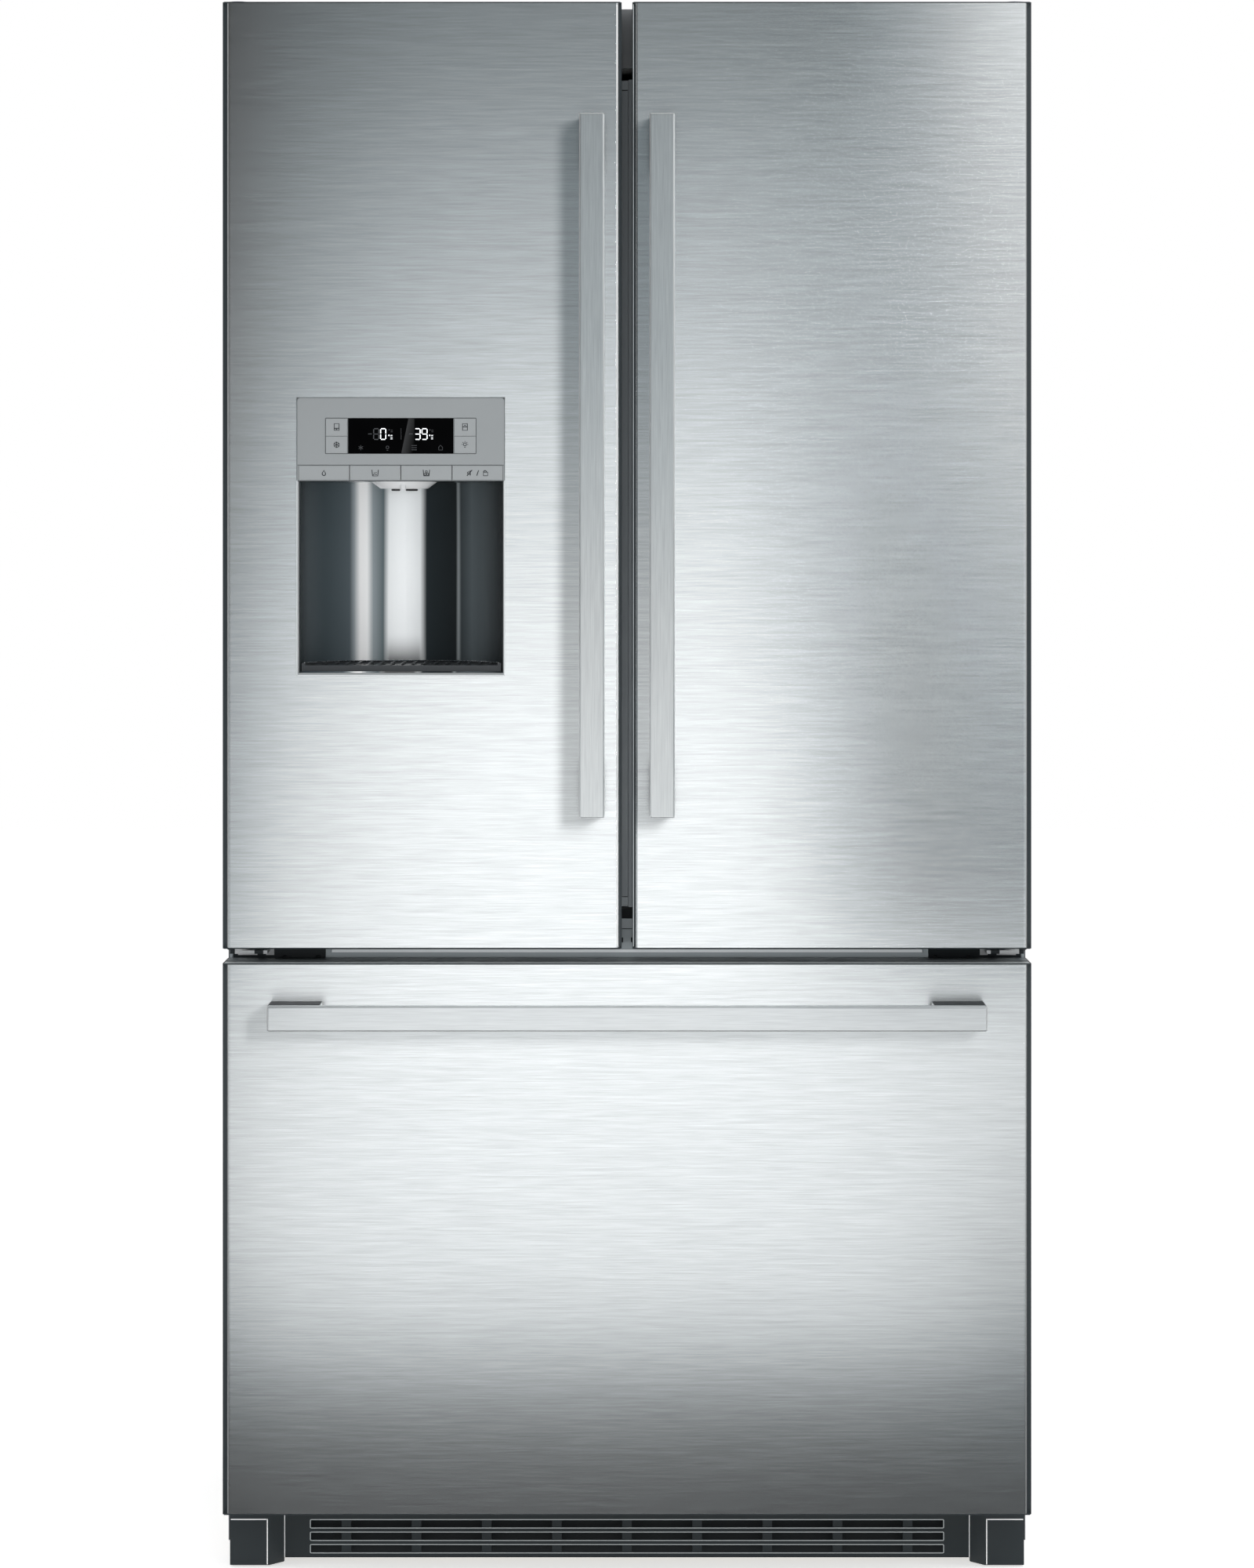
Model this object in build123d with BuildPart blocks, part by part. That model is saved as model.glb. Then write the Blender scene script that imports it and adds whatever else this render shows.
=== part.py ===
"""A French-door refrigerator with a bottom freezer drawer and a water and ice dispenser in its left door.

Millimetres, +Z up. X runs to the right and Y to the back, so the doors face -Y.
The origin is on the floor, under the centre of the bounding box.
"""

import math
import os

from build123d import *

os.makedirs("parts", exist_ok=True)

# ---------------------------------------------------------------- driving dimensions
WIDTH = 905.0  # cabinet and doors
HEIGHT = 1777.0  # floor to the top of the hinge covers
DEPTH = 920.0  # handle fronts to the rear spacers
DOOR_TOP = 1767.0
DOOR_BOTTOM = 708.0
DRAWER_TOP = 692.0
DRAWER_BOTTOM = 75.0
DOOR_THICK = 74.0
SEAL_GAP = 9.0  # between the doors' backs and the cabinet's front
DOOR_GAP = 12.0  # between the two upper doors
HANDLE_REACH = 58.0
WALL = 45.0  # cabinet wall, steel to liner
SHEET = 1.2
LINER = 2.0
SEAL_CLEAR = 0.3  # a closed gasket stands this far off the face it would press on
SEAM = 0.2  # between the panels that a foamed wall is made of

# ---------------------------------------------------------------- planes worked out from them
HALF = WIDTH / 2
FRONT = -DEPTH / 2 + HANDLE_REACH  # the doors' steel faces
DOOR_BACK = FRONT + DOOR_THICK
CABINET_FRONT = DOOR_BACK + SEAL_GAP
SPACER = 8.0
BACK = DEPTH / 2 - SPACER
CABINET_TOP = DOOR_TOP + 1.0
INSIDE = HALF - WALL  # half the width inside both compartments
FRIDGE_FLOOR = 748.0
FRIDGE_CEILING = 1700.0
FRIDGE_BACK = 395.0
FREEZER_FLOOR = 122.0
FREEZER_CEILING = 682.0
FREEZER_BACK = 383.0
STEP_BACK = 138.0  # the freezer's back below the step over the compressor
STEP_TOP = 302.0
FOAM_BOTTOM = 78.0
WRAPPER_BOTTOM = 30.0
GUIDE_X = (-19.0, 7.0)  # the two blocks that turn the mullion sit between the gaskets
GUIDE_PROUD = 4.0
EDGE = 5.0  # how much of the dark side profile shows beside the steel
INNER_EDGE = 3.2
LIP = 1.5  # how much of an end cap shows above and below the steel
HINGE_X = 438.0
HINGE_Y = FRONT + 50.0
PIN_RADIUS = 5.0
RUN_CLEAR = 0.06
DYKE_DEPTH = 45.0
DYKE_OUTER = (372.0, 400.0)  # distances of a door's two raised liner ribs from the centre
DYKE_INNER = (55.0, 83.0)
DYKE_Z = (756.0, 1690.0)


# ---------------------------------------------------------------- helpers
def span_box(x, y, z, mode=Mode.ADD):
    """A box between two X, two Y and two Z values, in the part being built."""
    (x0, x1), (y0, y1), (z0, z1) = sorted(x), sorted(y), sorted(z)
    with Locations(((x0 + x1) / 2, (y0 + y1) / 2, (z0 + z1) / 2)):
        return Box(x1 - x0, y1 - y0, z1 - z0, mode=mode)


def side(sign, near, far):
    """The two X values at those distances from the centre, on the left (-1) or the right (+1)."""
    return tuple(sorted((sign * near, sign * far)))


def rod(axis, centre, radius, length, mode=Mode.ADD):
    """A cylinder about X, Y or Z, centred on a point."""
    turn = {"X": (0, 90, 0), "Y": (90, 0, 0), "Z": (0, 0, 0)}[axis]
    with Locations(Location(centre, turn)):
        return Cylinder(radius, length, mode=mode)


def split_boxes(panels):
    """Touching boxes, each (x, y, z), kept apart by a seam so that every one stays a solid of its own."""
    half = SEAM / 2
    for ranges in panels:
        span_box(*[(min(ends) + half, max(ends) - half) for ends in ranges])


def save(piece, name):
    """Labels a finished piece and writes its STEP file."""
    piece.part.label = name
    export_step(piece.part, f"parts/{name}.step")


# ---------------------------------------------------------------- cabinet
def cabinet_wrapper():
    """One painted sheet bent over both sides and the top, with the front flange the seals pull onto."""
    inner = HALF - SHEET
    depth = (CABINET_FRONT, CABINET_FRONT + LINER)
    with BuildPart() as wrapper:
        span_box((-HALF, HALF), (depth[1], BACK), (WRAPPER_BOTTOM, CABINET_TOP))
        span_box((-inner, inner), (CABINET_FRONT, BACK), (0, CABINET_TOP - SHEET), Mode.SUBTRACT)
        span_box((-HALF, HALF), depth, (FRIDGE_CEILING, CABINET_TOP))
        for sign in (-1, 1):
            stile = side(sign, INSIDE, HALF)
            span_box(stile, depth, (FRIDGE_FLOOR, FRIDGE_CEILING))
            span_box(stile, depth, (FREEZER_FLOOR, FREEZER_CEILING))
            span_box(side(sign, inner, HALF), depth, (FREEZER_CEILING, FRIDGE_FLOOR))
            span_box(side(sign, inner, HALF), depth, (WRAPPER_BOTTOM, FOAM_BOTTOM))
        span_box((-HALF, HALF), depth, (FOAM_BOTTOM, FREEZER_FLOOR))
        guide_y = (CABINET_FRONT - GUIDE_PROUD, CABINET_FRONT)
        span_box(GUIDE_X, guide_y, (FRIDGE_CEILING + 0.5, FRIDGE_CEILING + 17))
        top_edges = wrapper.edges().filter_by(Axis.Y).group_by(Axis.Z)[-1]
        fillet(top_edges, 0.8)
    save(wrapper, "cabinet_wrapper")


def cabinet_foam():
    """The insulation between the steel and the liners, as the panels of one foamed wall."""
    skin = HALF - SHEET
    hollow = INSIDE + LINER
    front = CABINET_FRONT + LINER
    across = (-hollow, hollow)
    top = CABINET_TOP - SHEET
    fridge_z = (FRIDGE_FLOOR - LINER, FRIDGE_CEILING + LINER)
    freezer_z = (FOAM_BOTTOM, FREEZER_CEILING + LINER)
    step_z = STEP_TOP - LINER
    niche_z = step_z - WALL
    step_y = STEP_BACK + LINER
    panels = [(side(sign, hollow, skin), (front, BACK), (FOAM_BOTTOM, top)) for sign in (-1, 1)]
    panels += [
        (across, (front, BACK), (fridge_z[1], top)),
        (across, (FRIDGE_BACK + LINER, BACK), fridge_z),
        (across, (front, BACK), (freezer_z[1], fridge_z[0])),
        (across, (FREEZER_BACK + LINER, BACK), (step_z, freezer_z[1])),
        (across, (step_y, BACK), (niche_z, step_z)),
        (across, (step_y, step_y + WALL), (FOAM_BOTTOM, niche_z)),
        (across, (front, step_y), (FOAM_BOTTOM, FREEZER_FLOOR - LINER)),
    ]
    with BuildPart() as foam:
        split_boxes(panels)
    save(foam, "cabinet_foam")


def back_panel():
    """The flat rear sheet, the slotted compressor cover with its water and cord glands, and two spacers."""
    cover_top = STEP_TOP - 30
    with BuildPart() as panel:
        span_box((-HALF, HALF), (BACK, BACK + SHEET), (cover_top + 1, CABINET_TOP - 1))
        span_box((-HALF + 12, HALF - 12), (BACK, BACK + 3), (34, cover_top - 1))
        for row in range(6):
            low = 80 + row * 26
            for x in (-300, -180, 180, 300):
                span_box((x - 45, x + 45), (BACK - 1, BACK + 4), (low, low + 9), Mode.SUBTRACT)
        for x in (-260, 260):
            span_box((x - 18, x + 18), (BACK + SHEET, BACK + SPACER), (1520, 1580))
        for x, radius in ((-400, 9), (400, 11)):
            rod("Y", (x, BACK + 3 + 2, 190), radius, 4)
            rod("Y", (x, BACK + 3 + 2, 190), radius - 4, 12, Mode.SUBTRACT)
    save(panel, "back_panel")


def fridge_liner():
    """The moulded inside of the upper compartment, open to the front."""
    with BuildPart() as liner:
        hollow = INSIDE + LINER
        outer_z = (FRIDGE_FLOOR - LINER, FRIDGE_CEILING + LINER)
        span_box((-hollow, hollow), (CABINET_FRONT + LINER, FRIDGE_BACK + LINER), outer_z)
        inner_z = (FRIDGE_FLOOR, FRIDGE_CEILING)
        span_box((-INSIDE, INSIDE), (CABINET_FRONT, FRIDGE_BACK), inner_z, Mode.SUBTRACT)
    save(liner, "fridge_liner")


def stepped_profile(grow):
    """The freezer's side outline in Y and Z, grown outwards by a wall thickness at the back."""
    return [
        (CABINET_FRONT + LINER - (0 if grow else 1), FREEZER_FLOOR - grow),
        (STEP_BACK + grow, FREEZER_FLOOR - grow),
        (STEP_BACK + grow, STEP_TOP - grow),
        (FREEZER_BACK + grow, STEP_TOP - grow),
        (FREEZER_BACK + grow, FREEZER_CEILING + grow),
        (CABINET_FRONT + LINER - (0 if grow else 1), FREEZER_CEILING + grow),
    ]


def freezer_liner():
    """The moulded inside of the freezer, stepped over the compressor."""
    with BuildPart() as liner:
        for grow, half, mode in ((LINER, INSIDE + LINER, Mode.ADD), (0, INSIDE, Mode.SUBTRACT)):
            with BuildSketch(Plane.YZ.offset(-half)):
                with BuildLine():
                    Polyline(*stepped_profile(grow), close=True)
                make_face()
            extrude(amount=2 * half, mode=mode)
    save(liner, "freezer_liner")


def mid_rail():
    """The rail between the compartments, with the small ledge under the mullion."""
    with BuildPart() as rail:
        depth = (CABINET_FRONT, CABINET_FRONT + LINER)
        half = HALF - SHEET - 0.1
        span_box((-half, half), depth, (FREEZER_CEILING, FRIDGE_FLOOR))
        ledge = span_box(GUIDE_X, (CABINET_FRONT - GUIDE_PROUD, CABINET_FRONT), (731, 742))
        fillet(ledge.edges().filter_by(Axis.X).group_by(Axis.Y)[0], 1.5)
    save(rail, "mid_rail")


# ---------------------------------------------------------------- hinges
PIN_IN_DOOR = 24.0  # how far a hinge pin reaches into a door's end cap and core
PLATE_Z = (CABINET_TOP, CABINET_TOP + 3.5)
ARM_RADIUS = 14.0


def top_hinges():
    """A plate screwed on the cabinet's top at each side, with an arm over the door, and its pin."""
    with BuildPart() as hinges:
        for sign in (-1, 1):
            with BuildSketch(Plane.XY.offset(PLATE_Z[0])):
                with Locations((sign * HINGE_X, HINGE_Y)):
                    Circle(ARM_RADIUS)
                with Locations((sign * (HINGE_X - 44), CABINET_FRONT + 3)):
                    Rectangle(30, 4)
                make_hull()
            extrude(amount=PLATE_Z[1] - PLATE_Z[0])
            base_x = side(sign, HINGE_X - 62, HINGE_X + 10)
            span_box(base_x, (CABINET_FRONT + 3, CABINET_FRONT + 84), PLATE_Z)
            for dx in (-48, -6):
                rod("Z", (sign * (HINGE_X + dx), CABINET_FRONT + 66, PLATE_Z[1] + 1), 5, 2)
            pin_z = (PLATE_Z[0] - PIN_IN_DOOR, PLATE_Z[0])
            centre = (sign * HINGE_X, HINGE_Y, sum(pin_z) / 2)
            rod("Z", centre, PIN_RADIUS, pin_z[1] - pin_z[0])
    save(hinges, "top_hinges")


def hinge_covers():
    """A plastic cap over each hinge plate, open below."""
    wall = 2.0
    with BuildPart() as covers:
        for sign in (-1, 1):
            outer = side(sign, HINGE_X - 72, HALF - 2)
            reach = (CABINET_FRONT + 4, CABINET_FRONT + 96)
            cap = span_box(outer, reach, (CABINET_TOP, HEIGHT))
            fillet(cap.edges().filter_by(Axis.Z), 6)
            inner = (outer[0] + wall, outer[1] - wall), (reach[0] - 1, reach[1] - wall)
            span_box(*inner, (CABINET_TOP - 1, HEIGHT - wall), Mode.SUBTRACT)
    save(covers, "hinge_covers")


def mid_hinges():
    """The bracket on the mid rail at each side, with the bearing collar and the door's lower pin."""
    plate_z = (685.0, 704.0)
    arm_z = (699.5, 703.5)
    collar_z = (arm_z[1], DOOR_BOTTOM - 0.4)
    with BuildPart() as hinges:
        for sign in (-1, 1):
            plate_y = (CABINET_FRONT - 3, CABINET_FRONT)
            span_box(side(sign, 342, 447), plate_y, plate_z)
            span_box(side(sign, 405, 447), (HINGE_Y - 13, plate_y[0]), arm_z)
            for x in (350, 388):
                centre = (sign * x, CABINET_FRONT - 4.2, 691)
                rod("Y", centre, 4, 2.4)
            rod("Z", (sign * HINGE_X, HINGE_Y, sum(collar_z) / 2), 13, collar_z[1] - collar_z[0])
            pin_z = (collar_z[1], DOOR_BOTTOM + PIN_IN_DOOR)
            rod("Z", (sign * HINGE_X, HINGE_Y, sum(pin_z) / 2), PIN_RADIUS, pin_z[1] - pin_z[0])
    save(hinges, "mid_hinges")


# ---------------------------------------------------------------- base
KICK_FRONT = CABINET_FRONT + 20
KICK_HALF = 390.6
KICK_TOP = 73.0
SLOT_HALF = 360.0
SLOT_PITCH = 14.2
SLOT_HIGH = 7.6
RIB_PITCH = 80.0
COVER_X = (406.5, 451.0)
ROLLER = {"x": 415.0, "y": 400.0, "radius": 25.0, "width": 20.0}


def kick_plate():
    """The grille under the drawer: three long slots bridged by ribs every 80 mm."""
    low = 6.0
    with BuildPart() as plate:
        span_box((-KICK_HALF, KICK_HALF), (KICK_FRONT, KICK_FRONT + 3), (low, KICK_TOP))
        for row in range(3):
            z = 12.2 + row * SLOT_PITCH
            slot = (-SLOT_HALF, SLOT_HALF), (KICK_FRONT - 1, KICK_FRONT + 4), (z, z + SLOT_HIGH)
            span_box(*slot, Mode.SUBTRACT)
        for step in range(-4, 5):
            x = step * RIB_PITCH
            span_box((x - 5.5, x + 5.5), (KICK_FRONT + 0.4, KICK_FRONT + 8), (low + 2, KICK_TOP - 10))
    save(plate, "kick_plate")


def foot_covers():
    """The covers over the front legs, each with a slanted wing back to the kick plate."""
    wall = 3.0
    slant = KICK_HALF
    with BuildPart() as covers:
        for sign in (-1, 1):
            near, far = COVER_X
            outline = [
                (sign * far, CABINET_FRONT + 62),
                (sign * far, CABINET_FRONT),
                (sign * near, CABINET_FRONT),
                (sign * slant, KICK_FRONT),
                (sign * slant, KICK_FRONT + wall),
                (sign * (near + 1.2), CABINET_FRONT + wall),
                (sign * (far - wall), CABINET_FRONT + wall),
                (sign * (far - wall), CABINET_FRONT + 62),
            ]
            with BuildSketch(Plane.XY.offset(1.5)):
                with BuildLine():
                    Polyline(*outline, close=True)
                make_face()
            extrude(amount=KICK_TOP - 1.5)
    save(covers, "foot_covers")


LEG = {"x": 428.0, "y": CABINET_FRONT + 32}


def leveling_feet():
    """The two adjusting feet at the front: a domed pad on a threaded stem."""
    with BuildPart() as feet:
        for sign in (-1, 1):
            rod("Z", (sign * LEG["x"], LEG["y"], 4), 16, 8)
            rod("Z", (sign * LEG["x"], LEG["y"], 11), 9, 6)
            rod("Z", (sign * LEG["x"], LEG["y"], 34), 5, 40)
    save(feet, "leveling_feet")


def base_frame():
    """Side channels and cross members under the cabinet, with the leg blocks and the roller brackets."""
    inner, outer = ROLLER["x"] - 18, HALF - SHEET - 0.3
    behind_covers = CABINET_FRONT + 63
    side_y = (behind_covers, BACK - 0.5)
    members = []
    for sign in (-1, 1):
        members += [
            (side(sign, inner, outer), side_y, (54, FOAM_BOTTOM)),
            (side(sign, outer - 5, outer), side_y, (31, 54)),
            (side(sign, 410, 446), (CABINET_FRONT + 6, behind_covers), (54, FOAM_BOTTOM)),
        ]
        for offset in (-13.5, 13.5):
            x = ROLLER["x"] + offset
            members.append((side(sign, x - 1.5, x + 1.5), (ROLLER["y"] - 14, ROLLER["y"] + 14), (14, 54)))
    for y in (behind_covers, BACK - 40):
        members.append(((-inner, inner), (y, y + 30), (60, FOAM_BOTTOM)))
    members.append(((-380, 380), (STEP_BACK + 60, BACK - 41), (72, FOAM_BOTTOM)))
    with BuildPart() as frame:
        split_boxes(members)
        for sign in (-1, 1):
            rod("X", (sign * ROLLER["x"], ROLLER["y"], ROLLER["radius"]), 4, 23.8)
            rod("Z", (sign * LEG["x"], LEG["y"], 66), 5 + RUN_CLEAR, 24.1, Mode.SUBTRACT)
    save(frame, "base_frame")


def rear_rollers():
    """The two rear rollers, which turn together under the cabinet's back."""
    with BuildPart() as rollers:
        for sign in (-1, 1):
            centre = (sign * ROLLER["x"], ROLLER["y"], ROLLER["radius"])
            rod("X", centre, ROLLER["radius"], ROLLER["width"])
            rod("X", centre, 4 + RUN_CLEAR, ROLLER["width"] + 1, Mode.SUBTRACT)
    save(rollers, "rear_rollers")


FAN = {"x": -70.0, "y": 330.0, "z": 170.0}


def compressor():
    """The compressor's welded can on its foot plate, and the fan's motor and ring beside it."""
    x, y = 210.0, 318.0
    with BuildPart() as machine:
        span_box((x - 95, x + 95), (y - 70, y + 70), (FOAM_BOTTOM + 8, FOAM_BOTTOM + 12))
        with BuildSketch(Plane.XY.offset(FOAM_BOTTOM + 12)):
            with Locations((x, y)):
                Ellipse(82, 66)
        can = extrude(amount=150)
        fillet(can.edges().group_by(Axis.Z)[-1], 28)
        for dx in (-78, 78):
            for dy in (-56, 56):
                rod("Z", (x + dx, y + dy, FOAM_BOTTOM + 4), 10, 8)
        rod("X", (FAN["x"] + 22, FAN["y"], FAN["z"]), 20, 24)
        span_box((FAN["x"] + 12, FAN["x"] + 34), (FAN["y"] - 6, FAN["y"] + 6), (FOAM_BOTTOM, FAN["z"] - 10))
        rod("X", (FAN["x"] + 6, FAN["y"], FAN["z"]), 3, 12)
    save(machine, "compressor")


def condenser_fan():
    """The fan that blows over the compressor: a hub and five pitched blades."""
    centre = Vector(FAN["x"] - 4, FAN["y"], FAN["z"])
    with BuildPart() as fan:
        rod("X", tuple(centre), 16, 16)
        for turn in range(5):
            angle = math.radians(72 * turn)
            place = (centre.X, centre.Y + 40 * math.cos(angle), centre.Z + 40 * math.sin(angle))
            with Locations(Location(place, (72 * turn, 0, 0))):
                Box(2, 54, 30, rotation=(0, 28, 0))
        rod("X", (FAN["x"] - 4, FAN["y"], FAN["z"]), 3 + RUN_CLEAR, 80, Mode.SUBTRACT)
    save(fan, "condenser_fan")


# ---------------------------------------------------------------- inside the upper compartment
SHELF_FRONT = -185.0
SHELF_BACK = 384.0
SHELF_THICK = 16.0
HALF_SHELVES = [(-1, 1180.0), (-1, 1400.0), (1, 1215.0), (1, 1455.0)]
CRISPER_COVER = 975.0


def shelf_list():
    """(X range, top) of every glass shelf: four half-width ones and the crispers' cover."""
    shelves = [(side(sign, 12, 396), top) for sign, top in HALF_SHELVES]
    return shelves + [((-402, 402), CRISPER_COVER)]


def shelf_frames():
    """The moulded shelf rims and the four slotted tracks they hang from."""
    with BuildPart() as frames:
        for x, top in shelf_list():
            span_box(x, (SHELF_FRONT, SHELF_BACK), (top - SHELF_THICK, top))
            inner_x, inner_y = (x[0] + 18, x[1] - 18), (SHELF_FRONT + 26, SHELF_BACK - 24)
            span_box(inner_x, inner_y, (top - SHELF_THICK - 1, top + 1), Mode.SUBTRACT)
        front_edges = frames.edges().filter_by(Axis.X).group_by(Axis.Y)[0]
        fillet(front_edges, 5)
        for x in (-392, -18, 18, 392):
            span_box((x - 5, x + 5), (SHELF_BACK + 0.2, FRIDGE_BACK), (1000, 1680))
    save(frames, "shelf_frames")


def shelf_panes():
    """The tempered glass held in each shelf's rim."""
    with BuildPart() as panes:
        for x, top in shelf_list():
            span_box((x[0] + 18, x[1] - 18), (SHELF_FRONT + 26, SHELF_BACK - 24), (top - 6, top - 2))
    save(panes, "shelf_panes")


def air_duct():
    """The cold-air column on the back wall, with a row of outlets, and the lamp over the shelves."""
    with BuildPart() as duct:
        span_box((-10, 10), (SHELF_BACK + 1, FRIDGE_BACK), (1000, 1690))
        span_box((-200, -30), (SHELF_BACK + 3, FRIDGE_BACK), (1010, 1150))
        for row in range(4):
            z = 1035 + row * 26
            span_box((-180, -50), (SHELF_BACK, SHELF_BACK + 8), (z, z + 10), Mode.SUBTRACT)
        span_box((40, 360), (-120, 40), (FRIDGE_CEILING - 14, FRIDGE_CEILING))
    save(duct, "air_duct")


ICE_BOX = {"x": (-404.0, -120.0), "y": (-190.0, 380.0), "z": (1452.0, FRIDGE_CEILING)}


def ice_maker():
    """The insulated ice box in the upper left corner, with its front door panel."""
    with BuildPart() as box:
        span_box(ICE_BOX["x"], (ICE_BOX["y"][0] + 14, ICE_BOX["y"][1]), ICE_BOX["z"])
        x0, x1 = ICE_BOX["x"]
        z0, z1 = ICE_BOX["z"]
        panel = span_box((x0 + 2, x1 + 2), (ICE_BOX["y"][0], ICE_BOX["y"][0] + 12), (z0 + 4, z1 - 4))
        fillet(panel.edges().filter_by(Axis.Y), 10)
        neck = (ICE_BOX["y"][0] + 12, ICE_BOX["y"][0] + 14)
        span_box((x0 + 12, x1 - 12), neck, (z0 + 14, z1 - 14))
        span_box((x1 - 40, x1 - 12), (ICE_BOX["y"][0] - 1, ICE_BOX["y"][0] + 6), (1530, 1610), Mode.SUBTRACT)
    save(box, "ice_maker")


CRISPER = {"near": 8.0, "far": 383.0, "front": -190.0, "back": 330.0, "low": 770.0, "high": 950.0}


def open_bin(x, y, z, wall, radius):
    """An open-topped moulded bin with rounded upright corners, in the part being built."""
    body = span_box(x, y, z)
    fillet(body.edges().filter_by(Axis.Z), radius)
    inner = (x[0] + wall, x[1] - wall), (y[0] + wall, y[1] - wall)
    span_box(*inner, (z[0] + wall, z[1] + 1), Mode.SUBTRACT)


def crisper(sign, name):
    """One clear vegetable drawer with a thicker front and a grip ledge along its top."""
    x = side(sign, CRISPER["near"], CRISPER["far"])
    y = (CRISPER["front"] + 12, CRISPER["back"])
    with BuildPart() as drawer:
        open_bin(x, y, (CRISPER["low"], CRISPER["high"] - 20), 3, 8)
        span_box(x, (CRISPER["front"], CRISPER["front"] + 12), (CRISPER["low"], CRISPER["high"]))
        grip_x = (x[0] + 90, x[1] - 90)
        grip = (CRISPER["front"] - 1, CRISPER["front"] + 8)
        span_box(grip_x, grip, (CRISPER["high"] - 34, CRISPER["high"] - 12), Mode.SUBTRACT)
    save(drawer, name)


# ---------------------------------------------------------------- one upper door
SKIN_R = 4.0


def door_ranges(sign):
    """X ranges of a door, of its steel face and of the core between its side profiles."""
    whole = side(sign, DOOR_GAP / 2, HALF)
    steel = side(sign, DOOR_GAP / 2 + INNER_EDGE, HALF - EDGE)
    core = side(sign, DOOR_GAP / 2 + 8, HALF - 8)
    return whole, steel, core


def steel_skin(x, z, cut=None):
    """A sheet face with rounded upright edges and short returns, in the part being built."""
    returns = 5.0
    skin = span_box(x, (FRONT, FRONT + returns), z)
    fillet(skin.edges().filter_by(Axis.Z).group_by(Axis.Y)[0], SKIN_R)
    inner = (x[0] + SHEET, x[1] - SHEET), (FRONT + SHEET, FRONT + returns + 1)
    span_box(*inner, (z[0] - 1, z[1] + 1), Mode.SUBTRACT)
    if cut:
        span_box(cut[0], (FRONT - 1, FRONT + returns + 1), cut[1], Mode.SUBTRACT)


def edge_frame(x, z):
    """Side profiles and end caps round a door's core, with a thin lip over and under the steel."""
    wide = 8.0
    cap = 12.0
    depth = (FRONT + 5, DOOR_BACK)
    for low in (x[0], x[1] - wide):
        span_box((low, low + wide), depth, (z[0] + cap, z[1] - cap))
    for low, lip in ((z[0], z[0]), (z[1] - cap, z[1] - LIP)):
        span_box(x, depth, (low, low + cap))
        span_box((x[0] + 1.5, x[1] - 1.5), (FRONT + 1, depth[0]), (lip, lip + LIP))


def hinge_holes(sign):
    """Holes through a door's end caps for both hinge pins."""
    for z in (DOOR_BOTTOM, DOOR_TOP):
        rod("Z", (sign * HINGE_X, HINGE_Y, z), PIN_RADIUS + RUN_CLEAR, 26, Mode.SUBTRACT)


def gasket(x, z):
    """Four mitre-free strips of magnetic seal round a door's back."""
    wide = 12.0
    depth = (DOOR_BACK, CABINET_FRONT - SEAL_CLEAR)
    for low in (x[0], x[1] - wide):
        span_box((low, low + wide), depth, (z[0] + wide, z[1] - wide))
    for low in (z[0], z[1] - wide):
        span_box(x, depth, (low, low + wide))


def core_pin_holes(sign):
    """Blind holes for both hinge pins in a door's core."""
    top = PLATE_Z[0] - PIN_IN_DOOR - 2
    bottom = DOOR_BOTTOM + PIN_IN_DOOR + 2
    for z0, z1 in ((DOOR_BOTTOM, bottom), (top, DOOR_TOP)):
        rod("Z", (sign * HINGE_X, HINGE_Y, (z0 + z1) / 2), PIN_RADIUS + RUN_CLEAR, z1 - z0, Mode.SUBTRACT)


def handle(x, z, along):
    """A flat bar on two end posts. along is 'X' or 'Z', the bar's long direction."""
    bar_depth = 16.0
    post = 58.0
    bar_y = (FRONT - HANDLE_REACH, FRONT - HANDLE_REACH + bar_depth)
    post_y = (bar_y[1], FRONT)
    bar = span_box(x, bar_y, z)
    fillet(bar.edges(), 2.4)
    inset = 0.6
    if along == "Z":
        spans = [(z[0] + inset, z[0] + post), (z[1] - post, z[1] - inset)]
        blocks = [((x[0] + inset, x[1] - inset), span) for span in spans]
    else:
        spans = [(x[0] + inset, x[0] + post), (x[1] - post, x[1] - inset)]
        blocks = [(span, (z[0] + inset, z[1] - inset)) for span in spans]
    for block_x, block_z in blocks:
        span_box(block_x, post_y, block_z)


HANDLE_X = (25.0, 53.0)
HANDLE_Z = (857.5, 1637.5)


def door_bins(sign, levels):
    """Clear bins between a door's two ribs. levels are (bottom, top, how far back)."""
    x = side(sign, DYKE_INNER[1] + 0.2, DYKE_OUTER[0] - 0.2)
    for low, high, reach in levels:
        open_bin(x, (DOOR_BACK + 0.2, reach), (low, high), 3, 7)


BIN_REACH = -222.0
RIGHT_BINS = [(790.0, 900.0, BIN_REACH), (1020.0, 1115.0, BIN_REACH), (1250.0, 1335.0, BIN_REACH)]
LEFT_BINS = [(790.0, 900.0, BIN_REACH), (1575.0, 1660.0, BIN_REACH - 14)]
DAIRY_Z = (1500.0, 1580.0, 1682.0)  # bottom, front wall's top, cheeks' top
DAIRY_BACK = -248.0
LID_PIVOT = (DAIRY_BACK - 8.0, 1668.0)
LID_PIN = 2.5


def dairy_bin():
    """The bin under the lid, whose two cheeks carry the lid's pins."""
    x = side(1, DYKE_INNER[1] + 0.2, DYKE_OUTER[0] - 0.2)
    open_bin(x, (DOOR_BACK + 0.2, DAIRY_BACK), DAIRY_Z[:2], 3, 5)
    for low in (x[0], x[1] - 4):
        span_box((low, low + 4), (DOOR_BACK + 6, DAIRY_BACK), (DAIRY_Z[0] + 20, DAIRY_Z[2]))
    rod("X", (sum(x) / 2, *LID_PIVOT), LID_PIN + RUN_CLEAR, x[1] - x[0] + 2, Mode.SUBTRACT)


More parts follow.
